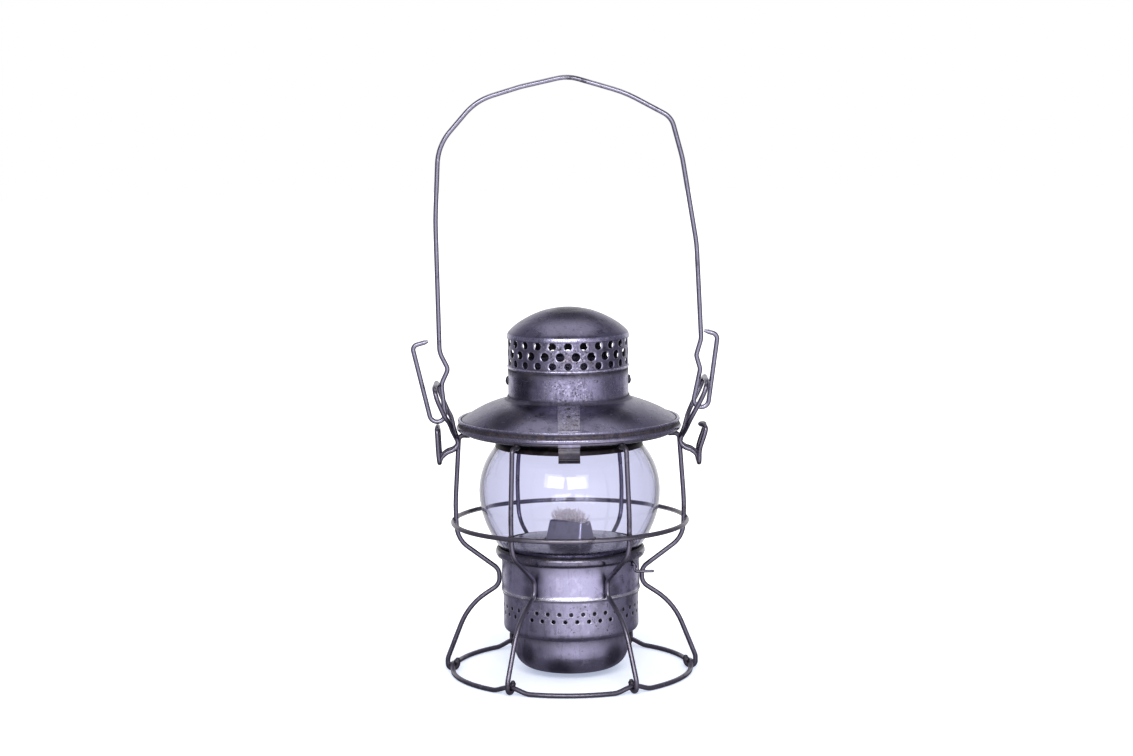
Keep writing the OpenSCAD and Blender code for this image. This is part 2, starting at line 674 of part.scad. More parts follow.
module dome_cap() {
    arc_c = dome_top_z - dome_arc;
    half_angle = asin(dome_flat_r / dome_arc);
    top = [for (i = [0:9]) let (a = half_angle * i / 9) [dome_arc * sin(a), arc_c + dome_arc * cos(a)]];
    shoulder = [for (i = [1:6]) let (a = 15 * i)
        [dome_flat_r + (dome_r - dome_flat_r) * sin(a), dome_skirt_z + dome_shoulder_h * cos(a)]];
    outer = concat(top, shoulder);
    inner = concat(
        [for (p = top) [max(0, p.x - p.x / dome_arc * sheet), p.y - sheet]],
        [for (i = [1:6]) let (a = 15 * i) [dome_flat_r + (dome_r - sheet - dome_flat_r) * sin(a),
            dome_skirt_z + (dome_shoulder_h - sheet) * cos(a)]]);
    color(tin) rotate_extrude()
        polygon(concat(outer, [[dome_r, dome_skirt_z - 1.4], [dome_r - sheet, dome_skirt_z - 1.4]],
            [for (i = [len(inner) - 1:-1:0]) inner[i]]));
}

// Perforated band under the dome, with the bead that it stands on.
module vent_band() {
    step = 360 / vents;
    color(tin) difference() {
        spun_sheet(concat(
            [[vent_r, dome_skirt_z + 0.6]],
            arc([vent_r, vent_bead_z], vent_bead_out, 90, -90, 6),
            [[vent_r, seam_z]]), sheet);
        for (row = [0:2], i = [0:vents - 1])
            rotate([0, 0, step * (i + (row % 2) / 2)])
                translate([0, 3 * sheet - vent_r, vent_top_z - row * vent_row_gap]) rotate([90, 0, 0])
                    cylinder(h = 6 * sheet, d = vent_d[row], $fn = 24);
    }
}

// Plain tube through the brim: the chimney above it, and below it the guide of the globe retainer.
module chimney_collar() {
    color(tin) translate([0, 0, collar_bottom_z]) difference() {
        cylinder(h = seam_z - collar_bottom_z - touch, r = collar_r);
        translate([0, 0, -1]) cylinder(h = seam_z, r = collar_r - sheet);
    }
}

module lid_brim() {
    slope = [for (i = [0:12]) let (r = collar_r + touch + sheet + (groove_r - collar_r - sheet - touch) * i / 12)
        [r, brim_z(r)]];
    color(tin) difference() {
        union() {
            spun_sheet(concat(
                [[collar_r + touch + sheet, brim_top_z + 2.2]],
                slope,
                [[groove_r + 0.7, groove_z + 0.1], [groove_r + 1.5, groove_z - 0.9],
                    [rim_c.x + 0.5, rim_bead_z + 1]]), sheet);
            translate([0, 0, rim_bead_z]) rotate_extrude($fn = 144)
                translate([rim_c.x, 0]) circle(r = rim_bead_r, $fn = wire_fn);
        }
        translate([-strap_w / 2 - 0.4, -latch_r - strap_t - 0.3, rim_bead_z + rim_bead_r])
            cube([strap_w + 0.8, strap_t + 1, 20]);
    }
}

// Fixed part of the latch: a strap down the brim and through its slot to the top ring.
module latch_strap() {
    r0 = collar_r + sheet + 1.2;
    n = 8;
    slope = [for (i = [0:n]) let (r = r0 + (latch_r - r0) * i / n) [r, over_brim_z(r, strap_t + 2 * touch)]];
    color(tin) translate([-strap_w / 2, 0, 0]) rotate([90, 0, -90]) mirror([0, 0, 1])
        linear_extrude(strap_w) polygon(sheet_outline(concat(
            slope,
            [[latch_r + strap_t, strap_groove_z - strap_t], [latch_r + strap_t, latch_pivot_z + 0.3]]), strap_t));
}

// Rivet heads in line down the strap, which hold it to the brim.
module strap_rivets() {
    head_r = 1.5;
    head_sink = 0.9;
    color(tin) for (r = [collar_r + 7.6, collar_r + 17.4])
        translate([0, -r, over_brim_z(r, strap_t + 4 * touch)]) rotate([atan(brim_slope(r)), 0, 0])
            difference() {
                translate([0, 0, -head_sink]) sphere(r = head_r, $fn = 32);
                translate([0, 0, -head_r]) cube(2 * head_r, center = true);
            }
}

// Springing end of the latch: a barrel bulge under the top ring that ends in a thumb lip.
module latch_spring() {
    drop = latch_pivot_z - latch_end_z;
    out = latch_r + strap_t;
    bulge = 2.3;
    color(tin) translate([-strap_w / 2, 0, 0]) rotate([90, 0, -90]) mirror([0, 0, 1])
        linear_extrude(strap_w) polygon(sheet_outline(concat(
            [[out, latch_pivot_z], [out, latch_pivot_z - 0.12 * drop]],
            [for (i = [0:8]) let (w = 22.5 * i) [out + bulge * sin(w), latch_pivot_z - drop * (0.2 + 0.075 * i)]],
            [[out + 0.4, latch_pivot_z - 0.9 * drop], [out + 1.6, latch_end_z]]), strap_t));
}

module globe_retainer() {
    color(dark_tin) spun_sheet([
        [sleeve_r + 0.15, retainer_flange_z + retainer_sleeve_h],
        [sleeve_r + 0.15, retainer_flange_z],
        [globe_neck_r + 2.4, globe_top_z + 1.6],
        [retainer_r - 1.6, neck_z + 0.5],
        [retainer_r, retainer_low_z + 2],
        [retainer_r, retainer_low_z]], sheet);
}

// Coil spring between the retainer and the brim.
module retainer_spring() {
    steps = 20 * spring_turns;
    sides = 6;
    rings = [for (i = [0:steps], k = [0:sides - 1]) let (a = 18 * i, b = 360 * k / sides,
        r = spring_r + spring_wire_d / 2 * cos(b))
        [r * cos(a), r * sin(a), spring_low_z + (spring_high_z - spring_low_z) * i / steps
            + spring_wire_d / 2 * sin(b)]];
    faces = [for (i = [0:steps - 1], k = [0:sides - 1]) let (
        a = i * sides + k,
        b = i * sides + (k + 1) % sides)
        each [[a, b, a + sides], [b, b + sides, a + sides]]];
    caps = [[for (k = [sides - 1:-1:0]) k], [for (k = [0:sides - 1]) steps * sides + k]];
    color(wire_grey) polyhedron(rings, concat(faces, caps), convexity = 8);
}

module fount_cup() {
    outer = concat(
        [[0, fount_bottom_z]],
        arc([cup_flat_r, fount_bottom_z + fount_round], fount_round, -90, 0, 8),
        [[fount_r, fount_top_z]]);
    inner = concat(
        [[0, fount_bottom_z + sheet]],
        arc([cup_flat_r, fount_bottom_z + fount_round], fount_round - sheet, -90, 0, 8),
        [[fount_r - sheet, fount_top_z]]);
    color(tin) rotate_extrude() polygon(concat(outer, [for (i = [len(inner) - 1:-1:0]) inner[i]]));
}

module fount_top() {
    inner = fount_r - sheet - touch;
    color(tin) rotate_extrude() polygon([
        [inner, fount_top_z - 4],
        [inner, fount_top_z],
        [neck_r + 3, fount_top_z + 4],
        [neck_r, fount_top_z + 4.6],
        [neck_r, neck_top_z],
        [neck_r - 1, neck_top_z],
        [neck_r - 1, fount_top_z + 3.8],
        [neck_r + 2.8, fount_top_z + 3.4],
        [inner - sheet, fount_top_z - 0.5],
        [inner - sheet, fount_top_z - 4]]);
}

module fount_lugs() {
    color(tin) for (i = [0:2])
        rotate([0, 0, 120 * i - lug_angle / 2]) translate([0, 0, lug_z])
            rotate_extrude(angle = lug_angle) translate([fount_r + touch, 0])
                square([lug_r - fount_r - touch, lug_t]);
}

// Burner: threaded foot in the fount's neck, waist with the shaft holes, and round top with the wick slot.
module burner_body() {
    foot_out = neck_r - 1 - touch;
    color(brass_dark) difference() {
        rotate_extrude() polygon([
            [foot_out, burner_base_z],
            [foot_out, neck_top_z + 0.4],
            [burner_r, neck_top_z + 0.4],
            [burner_r, burner_top_z - 1.2],
            [burner_r - 3, burner_top_z],
            [0, burner_top_z],
            [0, burner_top_z - 0.8],
            [burner_r - 3.3, burner_top_z - 0.8],
            [burner_r - 0.8, burner_top_z - 1.8],
            [burner_r - 0.8, neck_top_z + 1.2],
            [foot_out - 0.8, neck_top_z + 1.2],
            [foot_out - 0.8, burner_base_z]]);
        rotate([0, 0, burner_yaw]) {
            translate([0, 0, burner_top_z]) cube([tube_w + 0.1, tube_t + 0.1, 8], center = true);
            translate([-2 * burner_r, shaft_y, shaft_z]) rotate([0, 90, 0])
                cylinder(h = 4 * burner_r, d = shaft_d + 2 * run_fit, $fn = 32);
        }
    }
}

module wick_tube() {
    tube_low = fount_top_z - 6;
    tube_high = hood_z + hood_h * 0.6;
    color(brass_dark) rotate([0, 0, burner_yaw]) difference() {
        translate([-tube_w / 2, -tube_t / 2, tube_low]) cube([tube_w, tube_t, tube_high - tube_low]);
        translate([-tube_w / 2 + tube_wall, -tube_t / 2 + tube_wall, tube_low - 1])
            cube([tube_w - 2 * tube_wall, tube_t - 2 * tube_wall, tube_high]);
        for (side = [-1, 1])
            translate([side * wick_w / 4 - 1.6, 0, shaft_z - feed_r - 0.5])
                cube([3.2, tube_t, 2 * feed_r + 1]);
    }
}

// Tapered block with rounded upright edges, between the heights z0 and z1.
module hood_block(w0, d0, w1, d1, z0, z1, r) {
    hull() {
        for (x = [-1, 1], y = [-1, 1]) {
            translate([x * (w0 / 2 - r), y * (d0 / 2 - r), z0]) cylinder(h = 0.01, r = r, $fn = 24);
            translate([x * (w1 / 2 - r), y * (d1 / 2 - r), z1 - 0.01]) cylinder(h = 0.01, r = r, $fn = 24);
        }
    }
}

module flame_hood() {
    wall = 0.5;
    top = hood_z + hood_h;
    color(brass_dark) rotate([0, 0, burner_yaw]) difference() {
        hood_block(hood_w, hood_d, hood_top_w, hood_top_d, hood_z, top, 1.6);
        hood_block(hood_w - 2 * wall, hood_d - 2 * wall, hood_top_w - 2 * wall, hood_top_d - 2 * wall,
            hood_z - 0.02, top - wall, 1.1);
        translate([-hood_top_w / 2 + wall + 0.1, -wick_t / 2 - 0.9, top - 2])
            cube([hood_top_w - 2 * wall - 0.2, wick_t + 1.8, 4]);
    }
}

module wick() {
    color(cotton) rotate([0, 0, burner_yaw])
        translate([-wick_w / 2, -wick_t / 2, fount_bottom_z + 12])
            cube([wick_w, wick_t, wick_top_z - fount_bottom_z - 12]);
}

module wick_shaft() {
    color(brass_dark) rotate([0, 0, burner_yaw])
        translate([-burner_r - 1, shaft_y, shaft_z]) rotate([0, 90, 0])
            cylinder(h = burner_r + 1 + knob_out, d = shaft_d, $fn = 32);
}

// Two toothed wheels on the shaft, one over each window of the wick tube.
module feed_wheels() {
    teeth = 10;
    color(brass_dark) rotate([0, 0, burner_yaw])
        for (side = [-1, 1])
            translate([side * wick_w / 4 - 0.9, shaft_y, shaft_z]) rotate([0, 90, 0]) difference() {
                linear_extrude(1.8) polygon([for (i = [0:2 * teeth - 1])
                    (i % 2 == 0 ? feed_r : feed_r - 0.8) * [cos(180 * i / teeth), sin(180 * i / teeth)]]);
                translate([0, 0, -1]) cylinder(h = 4, d = shaft_d + 2 * touch, $fn = 32);
            }
}

module wick_knob() {
    color(brass_dark) rotate([0, 0, burner_yaw])
        translate([knob_out - 2.4, shaft_y, shaft_z]) rotate([0, 90, 0]) difference() {
            union() {
                cylinder(h = 2, r = knob_r, $fn = 48);
                translate([0, 0, -2]) cylinder(h = 2, r = knob_r / 2, $fn = 48);
            }
            translate([0, 0, -3]) cylinder(h = 6, d = shaft_d + 2 * touch, $fn = 32);
        }
}

// Bail, as [across, height, bend radius] from the left tip over the arch to the right tip.
arch_z = bail_top_z;
eye_z = ear_top_z - 13;
bail_x = ear_base_x;
bail_path = [
    [-bail_x - 18.3, eye_z + 39.9, 0],
    [-bail_x - 28.9, eye_z + 36.9, 3.5],
    [-bail_x - 17.3, rest_bar_z + wire_d + 0.45, 5],
    [-bail_x - 7.6, rest_bar_z + wire_d + 0.4, 5],
    [-bail_x - 10.2, eye_z + 11.5, 10],
    [-bail_x - 5.5, eye_z + 21.4, 5],
    [-bail_x - 11, eye_z + 32.5, 16],
    [-bail_x - 12.1, arch_z - 92.8, 200],
    [-bail_x - 8.8, arch_z - 45.6, 14],
    [-bail_x * 0.7, arch_z - 13.5, 60],
    [bail_x * 0.03, arch_z, 30],
    [bail_x * 0.535, arch_z - 11, 80],
    [bail_x - 3.6, arch_z - 26.8, 12],
    [bail_x + 3.6, arch_z - 53.8, 60],
    [bail_x + 12.4, arch_z - 109.8, 80],
    [bail_x + 14.2, eye_z + 39.5, 12],
    [bail_x + 10.9, eye_z + 28.7, 5],
    [bail_x + 13.5, eye_z + 19.5, 7],
    [bail_x + 8, eye_z - 5.7, 4.7],
    [bail_x + 18.3, eye_z - 5.7, 4.6],
    [bail_x + 25.1, eye_z + 42.2, 4],
    [bail_x + 16.1, eye_z + 44.9, 0]];

module bail() {
    color(wire_grey) rotate([90, 0, 0]) swept_wire(bail_path);
}

base_ring();
guard_ring();
top_ring();
guard_wire(0);  // guard_wire_left
guard_wire(1);  // guard_wire_front_left
guard_wire(2);  // guard_wire_front_right
guard_wire(3);  // guard_wire_right
guard_wire(4);  // guard_wire_rear_right
guard_wire(5);  // guard_wire_rear_left
ear_left();
ear_right();
upper_shell();
lower_shell();
bayonet_ring();
globe_gallery();
burner_deck();
globe();
hinge_base();
hinge_pin();
catch_eye();
fount_catch();
dome_cap();
vent_band();
chimney_collar();
lid_brim();
hinge_leaf();
latch_strap();
latch_spring();
strap_rivets();
retainer_spring();
globe_retainer();
fount_cup();
fount_top();
fount_lugs();
burner_body();
wick_tube();
flame_hood();
wick();
wick_shaft();
feed_wheels();
wick_knob();
bail();
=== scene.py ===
"""Looks of the railroad hand lantern: fine meshes, finishes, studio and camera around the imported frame."""
import logging
import math
import random
from collections.abc import Sequence
from dataclasses import dataclass, field
from enum import Enum
from functools import cache

import bmesh
import bpy
from mathutils import Matrix, Vector, noise


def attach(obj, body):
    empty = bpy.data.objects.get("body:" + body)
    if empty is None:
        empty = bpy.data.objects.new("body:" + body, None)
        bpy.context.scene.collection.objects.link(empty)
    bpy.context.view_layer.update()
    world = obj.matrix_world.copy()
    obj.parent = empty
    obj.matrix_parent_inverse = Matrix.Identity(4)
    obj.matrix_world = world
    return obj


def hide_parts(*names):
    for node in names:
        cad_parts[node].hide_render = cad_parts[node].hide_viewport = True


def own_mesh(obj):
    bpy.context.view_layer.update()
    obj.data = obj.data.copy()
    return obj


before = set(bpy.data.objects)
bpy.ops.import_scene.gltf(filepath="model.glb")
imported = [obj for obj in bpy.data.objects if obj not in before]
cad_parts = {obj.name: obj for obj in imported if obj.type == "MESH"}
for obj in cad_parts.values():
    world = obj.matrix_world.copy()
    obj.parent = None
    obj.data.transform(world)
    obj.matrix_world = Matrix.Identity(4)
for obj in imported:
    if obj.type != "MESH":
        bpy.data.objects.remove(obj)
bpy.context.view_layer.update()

MM = 0.001
LOG = logging.getLogger("lantern")

Colour = tuple[float, float, float]
Station = tuple[float, float, float]
Profile = list[tuple[float, float]]
Points = Sequence[tuple[float, float]]
Spots = tuple[tuple[Colour, float], ...]

WHITE: Colour = (1.0, 1.0, 1.0)
ROUND = 180.0
ON_AXIS = 1e-6
DENTS_PER_MM = 0.035
DENTS_FROM = Vector((3.1, 1.7, 0.4))


class Val:
    """One value in a node tree, so that shader maths reads as Python."""

    def __init__(self, net: "Net", socket: bpy.types.NodeSocket) -> None:
        """Wraps a socket of a net."""
        self.net = net
        self.socket = socket

    def _math(self, operation: str, first: "Val | float", second: "Val | float") -> "Val":
        """Adds one Math node and returns its result."""
        return self.net.node("ShaderNodeMath", {"operation": operation}, {0: first, 1: second})

    def __add__(self, other: "Val | float") -> "Val":
        """Sum."""
        return self._math("ADD", self, other)

    def __radd__(self, other: float) -> "Val":
        """Sum with a plain number first."""
        return self._math("ADD", other, self)

    def __sub__(self, other: "Val | float") -> "Val":
        """Difference."""
        return self._math("SUBTRACT", self, other)

    def __rsub__(self, other: float) -> "Val":
        """Difference from a plain number."""
        return self._math("SUBTRACT", other, self)

    def __mul__(self, other: "Val | float") -> "Val":
        """Product."""
        return self._math("MULTIPLY", self, other)

    def __rmul__(self, other: float) -> "Val":
        """Product with a plain number first."""
        return self._math("MULTIPLY", other, self)

    def most(self, other: "Val | float") -> "Val":
        """The larger one."""
        return self._math("MAXIMUM", self, other)

    def above(self, edge: float, width: float) -> "Val":
        """Soft step.

        Args:
            edge: Value at which the step is half way.
            width: Range over which it rises.

        Returns:
            0 below the edge and 1 above it.
        """
        return self.net.node("ShaderNodeMapRange", {"interpolation_type": "SMOOTHSTEP"}, {
            "Value": self, "From Min": edge - width / 2, "From Max": edge + width / 2})


class Net:
    """A node tree that is written with one call for each node."""

    def __init__(self, tree: bpy.types.NodeTree) -> None:
        """Wraps a tree."""
        self.tree = tree

    def place(self, kind: str, settings: dict, inputs: dict) -> bpy.types.Node:
        """Adds a node.

        Args:
            kind: The node's type.
            settings: Properties that are set before its sockets; "stops" fills a colour ramp.
            inputs: Socket name or number to a value or a link.

        Returns:
            The node.
        """
        made = self.tree.nodes.new(kind)
        for key, value in settings.items():
            if key == "stops":
                self._fill_ramp(made.color_ramp, value)
            else:
                setattr(made, key, value)
        for key, value in inputs.items():
            if isinstance(value, Val):
                self.tree.links.new(value.socket, made.inputs[key])
            else:
                made.inputs[key].default_value = value
        return made

    def node(self, kind: str, settings: dict | None = None, inputs: dict | None = None,
             output: int | str = 0) -> Val:
        """Adds a node and returns one of its outputs; the other arguments are those of place()."""
        return Val(self, self.place(kind, settings or {}, inputs or {}).outputs[output])

    @staticmethod
    def _fill_ramp(ramp: bpy.types.ColorRamp, stops: Sequence[tuple[float, Colour]]) -> None:
        """Sets the stops of a colour ramp.

        Args:
            ramp: The ramp.
            stops: Place and colour of each stop.
        """
        while len(ramp.elements) < len(stops):
            ramp.elements.new(0.5)
        for element, (place, colour) in zip(ramp.elements, stops):
            element.position = place
            element.color = (*colour, 1.0)

    def mix(self, share: "Val | float", low: "Val | Colour", high: "Val | Colour") -> Val:
        """Blends two colours; the share is the part of the second one."""
        pair = [c if isinstance(c, Val) else (*c, 1.0) for c in (low, high)]
        return self.node("ShaderNodeMix", {"data_type": "RGBA", "clamp_factor": True},
                         {0: share, 6: pair[0], 7: pair[1]}, output=2)

    def coordinates(self) -> Val:
        """Coordinates in metres, fixed to the piece."""
        return self.node("ShaderNodeTexCoord", output="Object")

    def parts(self, vector: Val) -> list[Val]:
        """The three parts of a vector."""
        split = self.place("ShaderNodeSeparateXYZ", {}, {"Vector": vector})
        return [Val(self, split.outputs[axis]) for axis in "XYZ"]

    def point(self, **parts: Val) -> Val:
        """Vector with the given parts X, Y and Z."""
        return self.node("ShaderNodeCombineXYZ", {}, parts)

    def ray(self, *kinds: str) -> list[Val]:
        """Facts about the ray that is traced, by their names on the Light Path node."""
        path = self.place("ShaderNodeLightPath", {}, {})
        return [Val(self, path.outputs[kind]) for kind in kinds]

    def grain(self, place: Val, size_mm: float, detail: float = 4.0, rough: float = 0.55,
              warp: float = 0.0) -> Val:
        """Noise of one grain size.

        Args:
            place: Coordinates in metres.
            size_mm: Size of the largest grains.
            detail: Octaves.
            rough: Share of each finer octave.
            warp: Distortion.

        Returns:
            Noise around 0.5.
        """
        return self.node("ShaderNodeTexNoise", {}, {
            "Vector": place, "Scale": 1 / MM / size_mm, "Detail": detail, "Roughness": rough,
            "Distortion": warp})

    def stretch(self, place: Val, scale: Colour, turn: Colour = (0.0, 0.0, 0.0)) -> Val:
        """Coordinates that are turned and then scaled."""
        return self.node("ShaderNodeMapping", {}, {"Vector": place, "Rotation": turn, "Scale": scale})

    def bump(self, height: Val, depth_mm: float, under: Val | None = None) -> Val:
        """Bump of a given depth.

        Args:
            height: What rises and falls.
            depth_mm: Depth for a rise from 0 to 1.
            under: Normal of the bump that this one lies on.

        Returns:
            The new normal.
        """
        inputs = {"Height": height, "Distance": depth_mm * MM, "Strength": 1.0}
        if under is not None:
            inputs["Normal"] = under
        return self.node("ShaderNodeBump", {}, inputs)


def shader_net(name: str) -> tuple[bpy.types.Material, Net]:
    """Makes an empty node material.

    Args:
        name: Name of the material.

    Returns:
        The material and its net.
    """
    material = bpy.data.materials.new(name)
    material.use_nodes = True
    material.node_tree.nodes.clear()
    return material, Net(material.node_tree)


def close_material(net: Net, surface: Val) -> None:
    """Links a surface to the material's output."""
    net.place("ShaderNodeOutputMaterial", {}, {"Surface": surface})


def times(colour: Colour, factor: float) -> Colour:
    """A colour made darker or lighter, at most white."""
    return tuple(min(1.0, c * factor) for c in colour)


@dataclass(frozen=True)
class TinFinish:
    """Old tinned sheet: cloudy violet grey metal with pits, drips, scratches, scuffs and stains, with painted
    highlights and painted dark reflections.

    The point attribute is above 0 for sooty places and painted shade in creases and hollows, and below 0 for
    worn bright edges and painted highlights.
    """

    name: str
    body: Colour = (0.31, 0.29, 0.415)
    shade: Colour = (0.115, 0.105, 0.155)
    shine: Colour = (0.64, 0.62, 0.82)
    rust: Colour = (0.045, 0.036, 0.034)
    roughness: float = 0.30
    pitting: float = 0.4
    drips: float = 0.3
    warmth: float = 0.12
    scratches: float = 0.35
    # Places of pits and lighter scuffs; at the front they also paint the highlight lighter.
    sores_and_front_highlights: Spots = ()
    # Darkened places: real stains, and painted dark reflections where the metal faces the dim room.
    stains_and_dark_reflections: Spots = ()
    brown_below: float = -900.0

    def near(self, net: Net, place: Val, spots: Spots) -> "Val | float":
        """Soft mask around places on the sheet.

        Args:
            net: The net.
            place: Coordinates in metres.
            spots: Centre and radius of each place, in millimetres.

        Returns:
            1 at a centre and 0 away from all of them.
        """
        mask: Val | float = 0.0
        for centre, reach in spots:
            away = net.node("ShaderNodeVectorMath", {"operation": "DISTANCE"}, {
                0: place, 1: tuple(c * MM for c in centre)}, "Value")
            spot = 1.0 - away.above(reach * MM, reach * 1.1 * MM)
            mask = spot.most(mask)
        return mask

    def material(self) -> bpy.types.Material:
        """Builds the finish.

        Returns:
            The material.
        """
        material, net = shader_net(self.name)
        place = net.coordinates()
        cloud = net.grain(place, 34.0, 3.0, 0.6, 0.5)
        mottle = net.grain(place, 6.0, 6.0, 0.62, 0.6)
        fine = net.grain(place, 0.8, 5.0, 0.6)
        streak = net.grain(net.stretch(place, (1.0, 1.0, 0.12)), 4.0, 5.0, 0.6, 0.3)
        tone = cloud * 0.38 + mottle * 0.36 + streak * 0.26
        colour = net.node("ShaderNodeValToRGB", {"stops": [
            (0.38, self.shade), (0.48, self.body), (0.56, self.body), (0.66, self.shine)]}, {"Fac": tone})
        # Darkened spots, partly painted dark reflections; then pitted places with lighter scuffs, which paint
        # a highlight at the front.
        darkened_by_stain_and_reflection = self.near(net, place, self.stains_and_dark_reflections) * (0.5 + mottle * 0.8)
        colour = net.mix(darkened_by_stain_and_reflection, colour, times(self.shade, 0.6))
        sore_and_front_highlight = self.near(net, place, self.sores_and_front_highlights)
        scuff = net.grain(place, 2.6, 6.0, 0.78, 1.4)
        colour = net.mix(sore_and_front_highlight * scuff.above(0.56, 0.10) * 0.75, colour, times(self.shine, 1.3))
        patch = net.grain(place, 14.0, 4.0, 0.7, 1.2).above(0.62 - 0.10 * self.pitting, 0.10)
        specks = net.grain(place, 1.3, 3.0, 0.75, 0.8).above(0.585, 0.06)
        pits = specks * (patch * 0.8 + sore_and_front_highlight * 0.9 + 0.20) * (0.5 + 0.7 * self.pitting)
        colour = net.mix(pits * 0.9, colour, self.rust)
        run = streak.above(0.60, 0.10) * self.drips
        colour = net.mix(run, colour, self.shade)
        lines = net.stretch(place, (0.10, 0.10, 1.0), (0.25, 0.55, 0.3))
        rub = net.grain(lines, 1.1, 3.0, 0.7).above(0.67, 0.05) * self.scratches
        slants = net.stretch(place, (1.0, 1.0, 0.10), (0.0, -0.45, 0.2))
        cut = net.grain(slants, 1.2, 3.0, 0.7).above(0.67, 0.05)
        colour = net.mix(rub, colour, self.shine)
        colour = net.mix(cut * self.scratches, colour, self.rust)
        # Above 0 the point attribute darkens sooty places and paints shade in creases, under beads and inside
        # holes; below 0 it lightens worn edges and paints highlights on ridges, beads and hole rims.
        grime_and_painted_light = net.node("ShaderNodeAttribute", {"attribute_name": "grime_and_painted_light"}, output="Fac")
        rubbed_and_painted_highlight = (grime_and_painted_light * -1.0).most(0.0) * (0.2 + scuff.above(0.47, 0.22))
        colour = net.mix(rubbed_and_painted_highlight, colour, times(self.shine, 1.35))
        soot_and_painted_shade = grime_and_painted_light.most(0.0) * (mottle * 0.9 + 0.55)
        colour = net.mix(soot_and_painted_shade, colour, times(self.shade, 0.25))
        height = net.parts(place)[2]
        warm = net.grain(place, 9.0, 3.0, 0.5).above(0.58, 0.14) * self.warmth
        warm = warm + (1.0 - height.above(self.brown_below * MM, 0.002)) * scuff.above(0.50, 0.16) * 0.38
        colour = net.mix(warm, colour, (0.21, 0.165, 0.14))
        rough = self.roughness + (mottle - 0.5) * 0.26 + pits * 0.30 + soot_and_painted_shade * 0.25
        rough = rough - (rub + rubbed_and_painted_highlight) * 0.08 + sore_and_front_highlight * 0.08
        dent = net.bump(cloud, 0.40)
        relief = net.bump(mottle, 0.06, dent)
        skin = net.bump(fine - pits * 1.8, 0.025, relief)
        surface = net.node("ShaderNodeBsdfPrincipled", {}, {
            "Base Color": colour, "Metallic": 1.0 - pits * 0.5 - soot_and_painted_shade * 0.3, "Roughness": rough,
            "Normal": skin, "IOR": 1.5})
        close_material(net, surface)
        return material


@dataclass(frozen=True)
class WireFinish:
    """Darkened steel wire with worn bright lengths and brown scale."""

    name: str
    body: Colour = (0.205, 0.19, 0.235)
    scale: Colour = (0.085, 0.075, 0.085)
    bare: Colour = (0.44, 0.42, 0.50)
    roughness: float = 0.30
    wear: float = 0.3
    flaking: float = 0.5

    def material(self) -> bpy.types.Material:
        """Builds the finish.

        Returns:
            The material.
        """
        material, net = shader_net(self.name)
        place = net.coordinates()
        length = net.grain(place, 24.0, 3.0, 0.6, 0.5)
        blotch = net.grain(place, 4.0, 5.0, 0.62, 0.8)
        fine = net.grain(place, 0.7, 4.0, 0.6)
        tone = length * 0.6 + blotch * 0.4
        colour = net.node("ShaderNodeValToRGB", {"stops": [
            (0.34, self.scale), (0.45, self.body), (0.60, self.body), (0.72, self.bare)]}, {"Fac": tone})
        flakes = net.grain(place, 1.5, 4.0, 0.75, 1.0).above(0.61, 0.06) * self.flaking
        colour = net.mix(flakes, colour, times(self.scale, 0.6))
        worn = blotch.above(0.64, 0.07) * self.wear
        colour = net.mix(worn, colour, self.bare)
        grime_and_painted_light = net.node("ShaderNodeAttribute", {"attribute_name": "grime_and_painted_light"}, output="Fac")
        colour = net.mix(grime_and_painted_light * 0.85, colour, times(self.scale, 0.35))
        rough = self.roughness + flakes * 0.28 + (length - 0.5) * 0.25 - worn * 0.05 + grime_and_painted_light * 0.2
        relief = net.bump(blotch, 0.07)
        skin = net.bump(fine - flakes * 1.4, 0.02, relief)
        surface = net.node("ShaderNodeBsdfPrincipled", {}, {
            "Base Color": colour, "Metallic": 1.0 - flakes * 0.4 - grime_and_painted_light * 0.3, "Roughness": rough,
            "Normal": skin})
        close_material(net, surface)
        return material


@dataclass(frozen=True)
class GlassFinish:
    """Thick clear globe glass with a faint violet cast, slow waves and a little dust."""

    name: str
    tint: Colour = (0.862, 0.866, 1.0)
    clear: Colour = (0.93, 0.93, 0.98)
    ior: float = 1.47
    wave_mm: float = 0.05

    def material(self) -> bpy.types.Material:
        """Builds the finish; lamps shine through it without a hard shadow.

        Returns:
            The material.
        """
        material, net = shader_net(self.name)
        place = net.coordinates()
        wave = net.bump(net.grain(net.stretch(place, (1.0, 1.0, 0.45)), 30.0, 2.0, 0.5), self.wave_mm)
        dust = net.grain(place, 7.0, 6.0, 0.72, 0.8).above(0.68, 0.12)
        glass = net.node("ShaderNodeBsdfPrincipled", {}, {
            "Base Color": (*self.tint, 1.0), "Transmission Weight": 1.0, "Roughness": dust * 0.02,
            "Normal": wave, "IOR": self.ior})
        clear = net.node("ShaderNodeBsdfTransparent", {}, {"Color": (*self.clear, 1.0)})
        shadow, diffuse, glossy, through = net.ray(
            "Is Shadow Ray", "Is Diffuse Ray", "Is Glossy Ray", "Is Transmission Ray")
        passing = shadow.most(diffuse).most(glossy * (1.0 - through))
        close_material(net, net.node("ShaderNodeMixShader", {}, {0: passing, 1: glass, 2: clear}))
        return material


@dataclass(frozen=True)
class CottonFinish:
    """Unburnt cotton wick, off-white with darker twists."""

    name: str
    light: Colour = (0.95, 0.91, 0.90)
    dark: Colour = (0.66, 0.58, 0.56)

    def material(self) -> bpy.types.Material:
        """Builds the finish.

        Returns:
            The material.
        """
        material, net = shader_net(self.name)
        place = net.coordinates()
        fibre = net.grain(net.stretch(place, (1.0, 1.0, 0.2)), 0.8, 4.0, 0.6)
        colour = net.mix(fibre.above(0.5, 0.4), self.dark, self.light)
        surface = net.node("ShaderNodeBsdfPrincipled", {}, {
            "Base Color": colour, "Roughness": 0.85, "Normal": net.bump(fibre, 0.12)})
        close_material(net, surface)
        return material


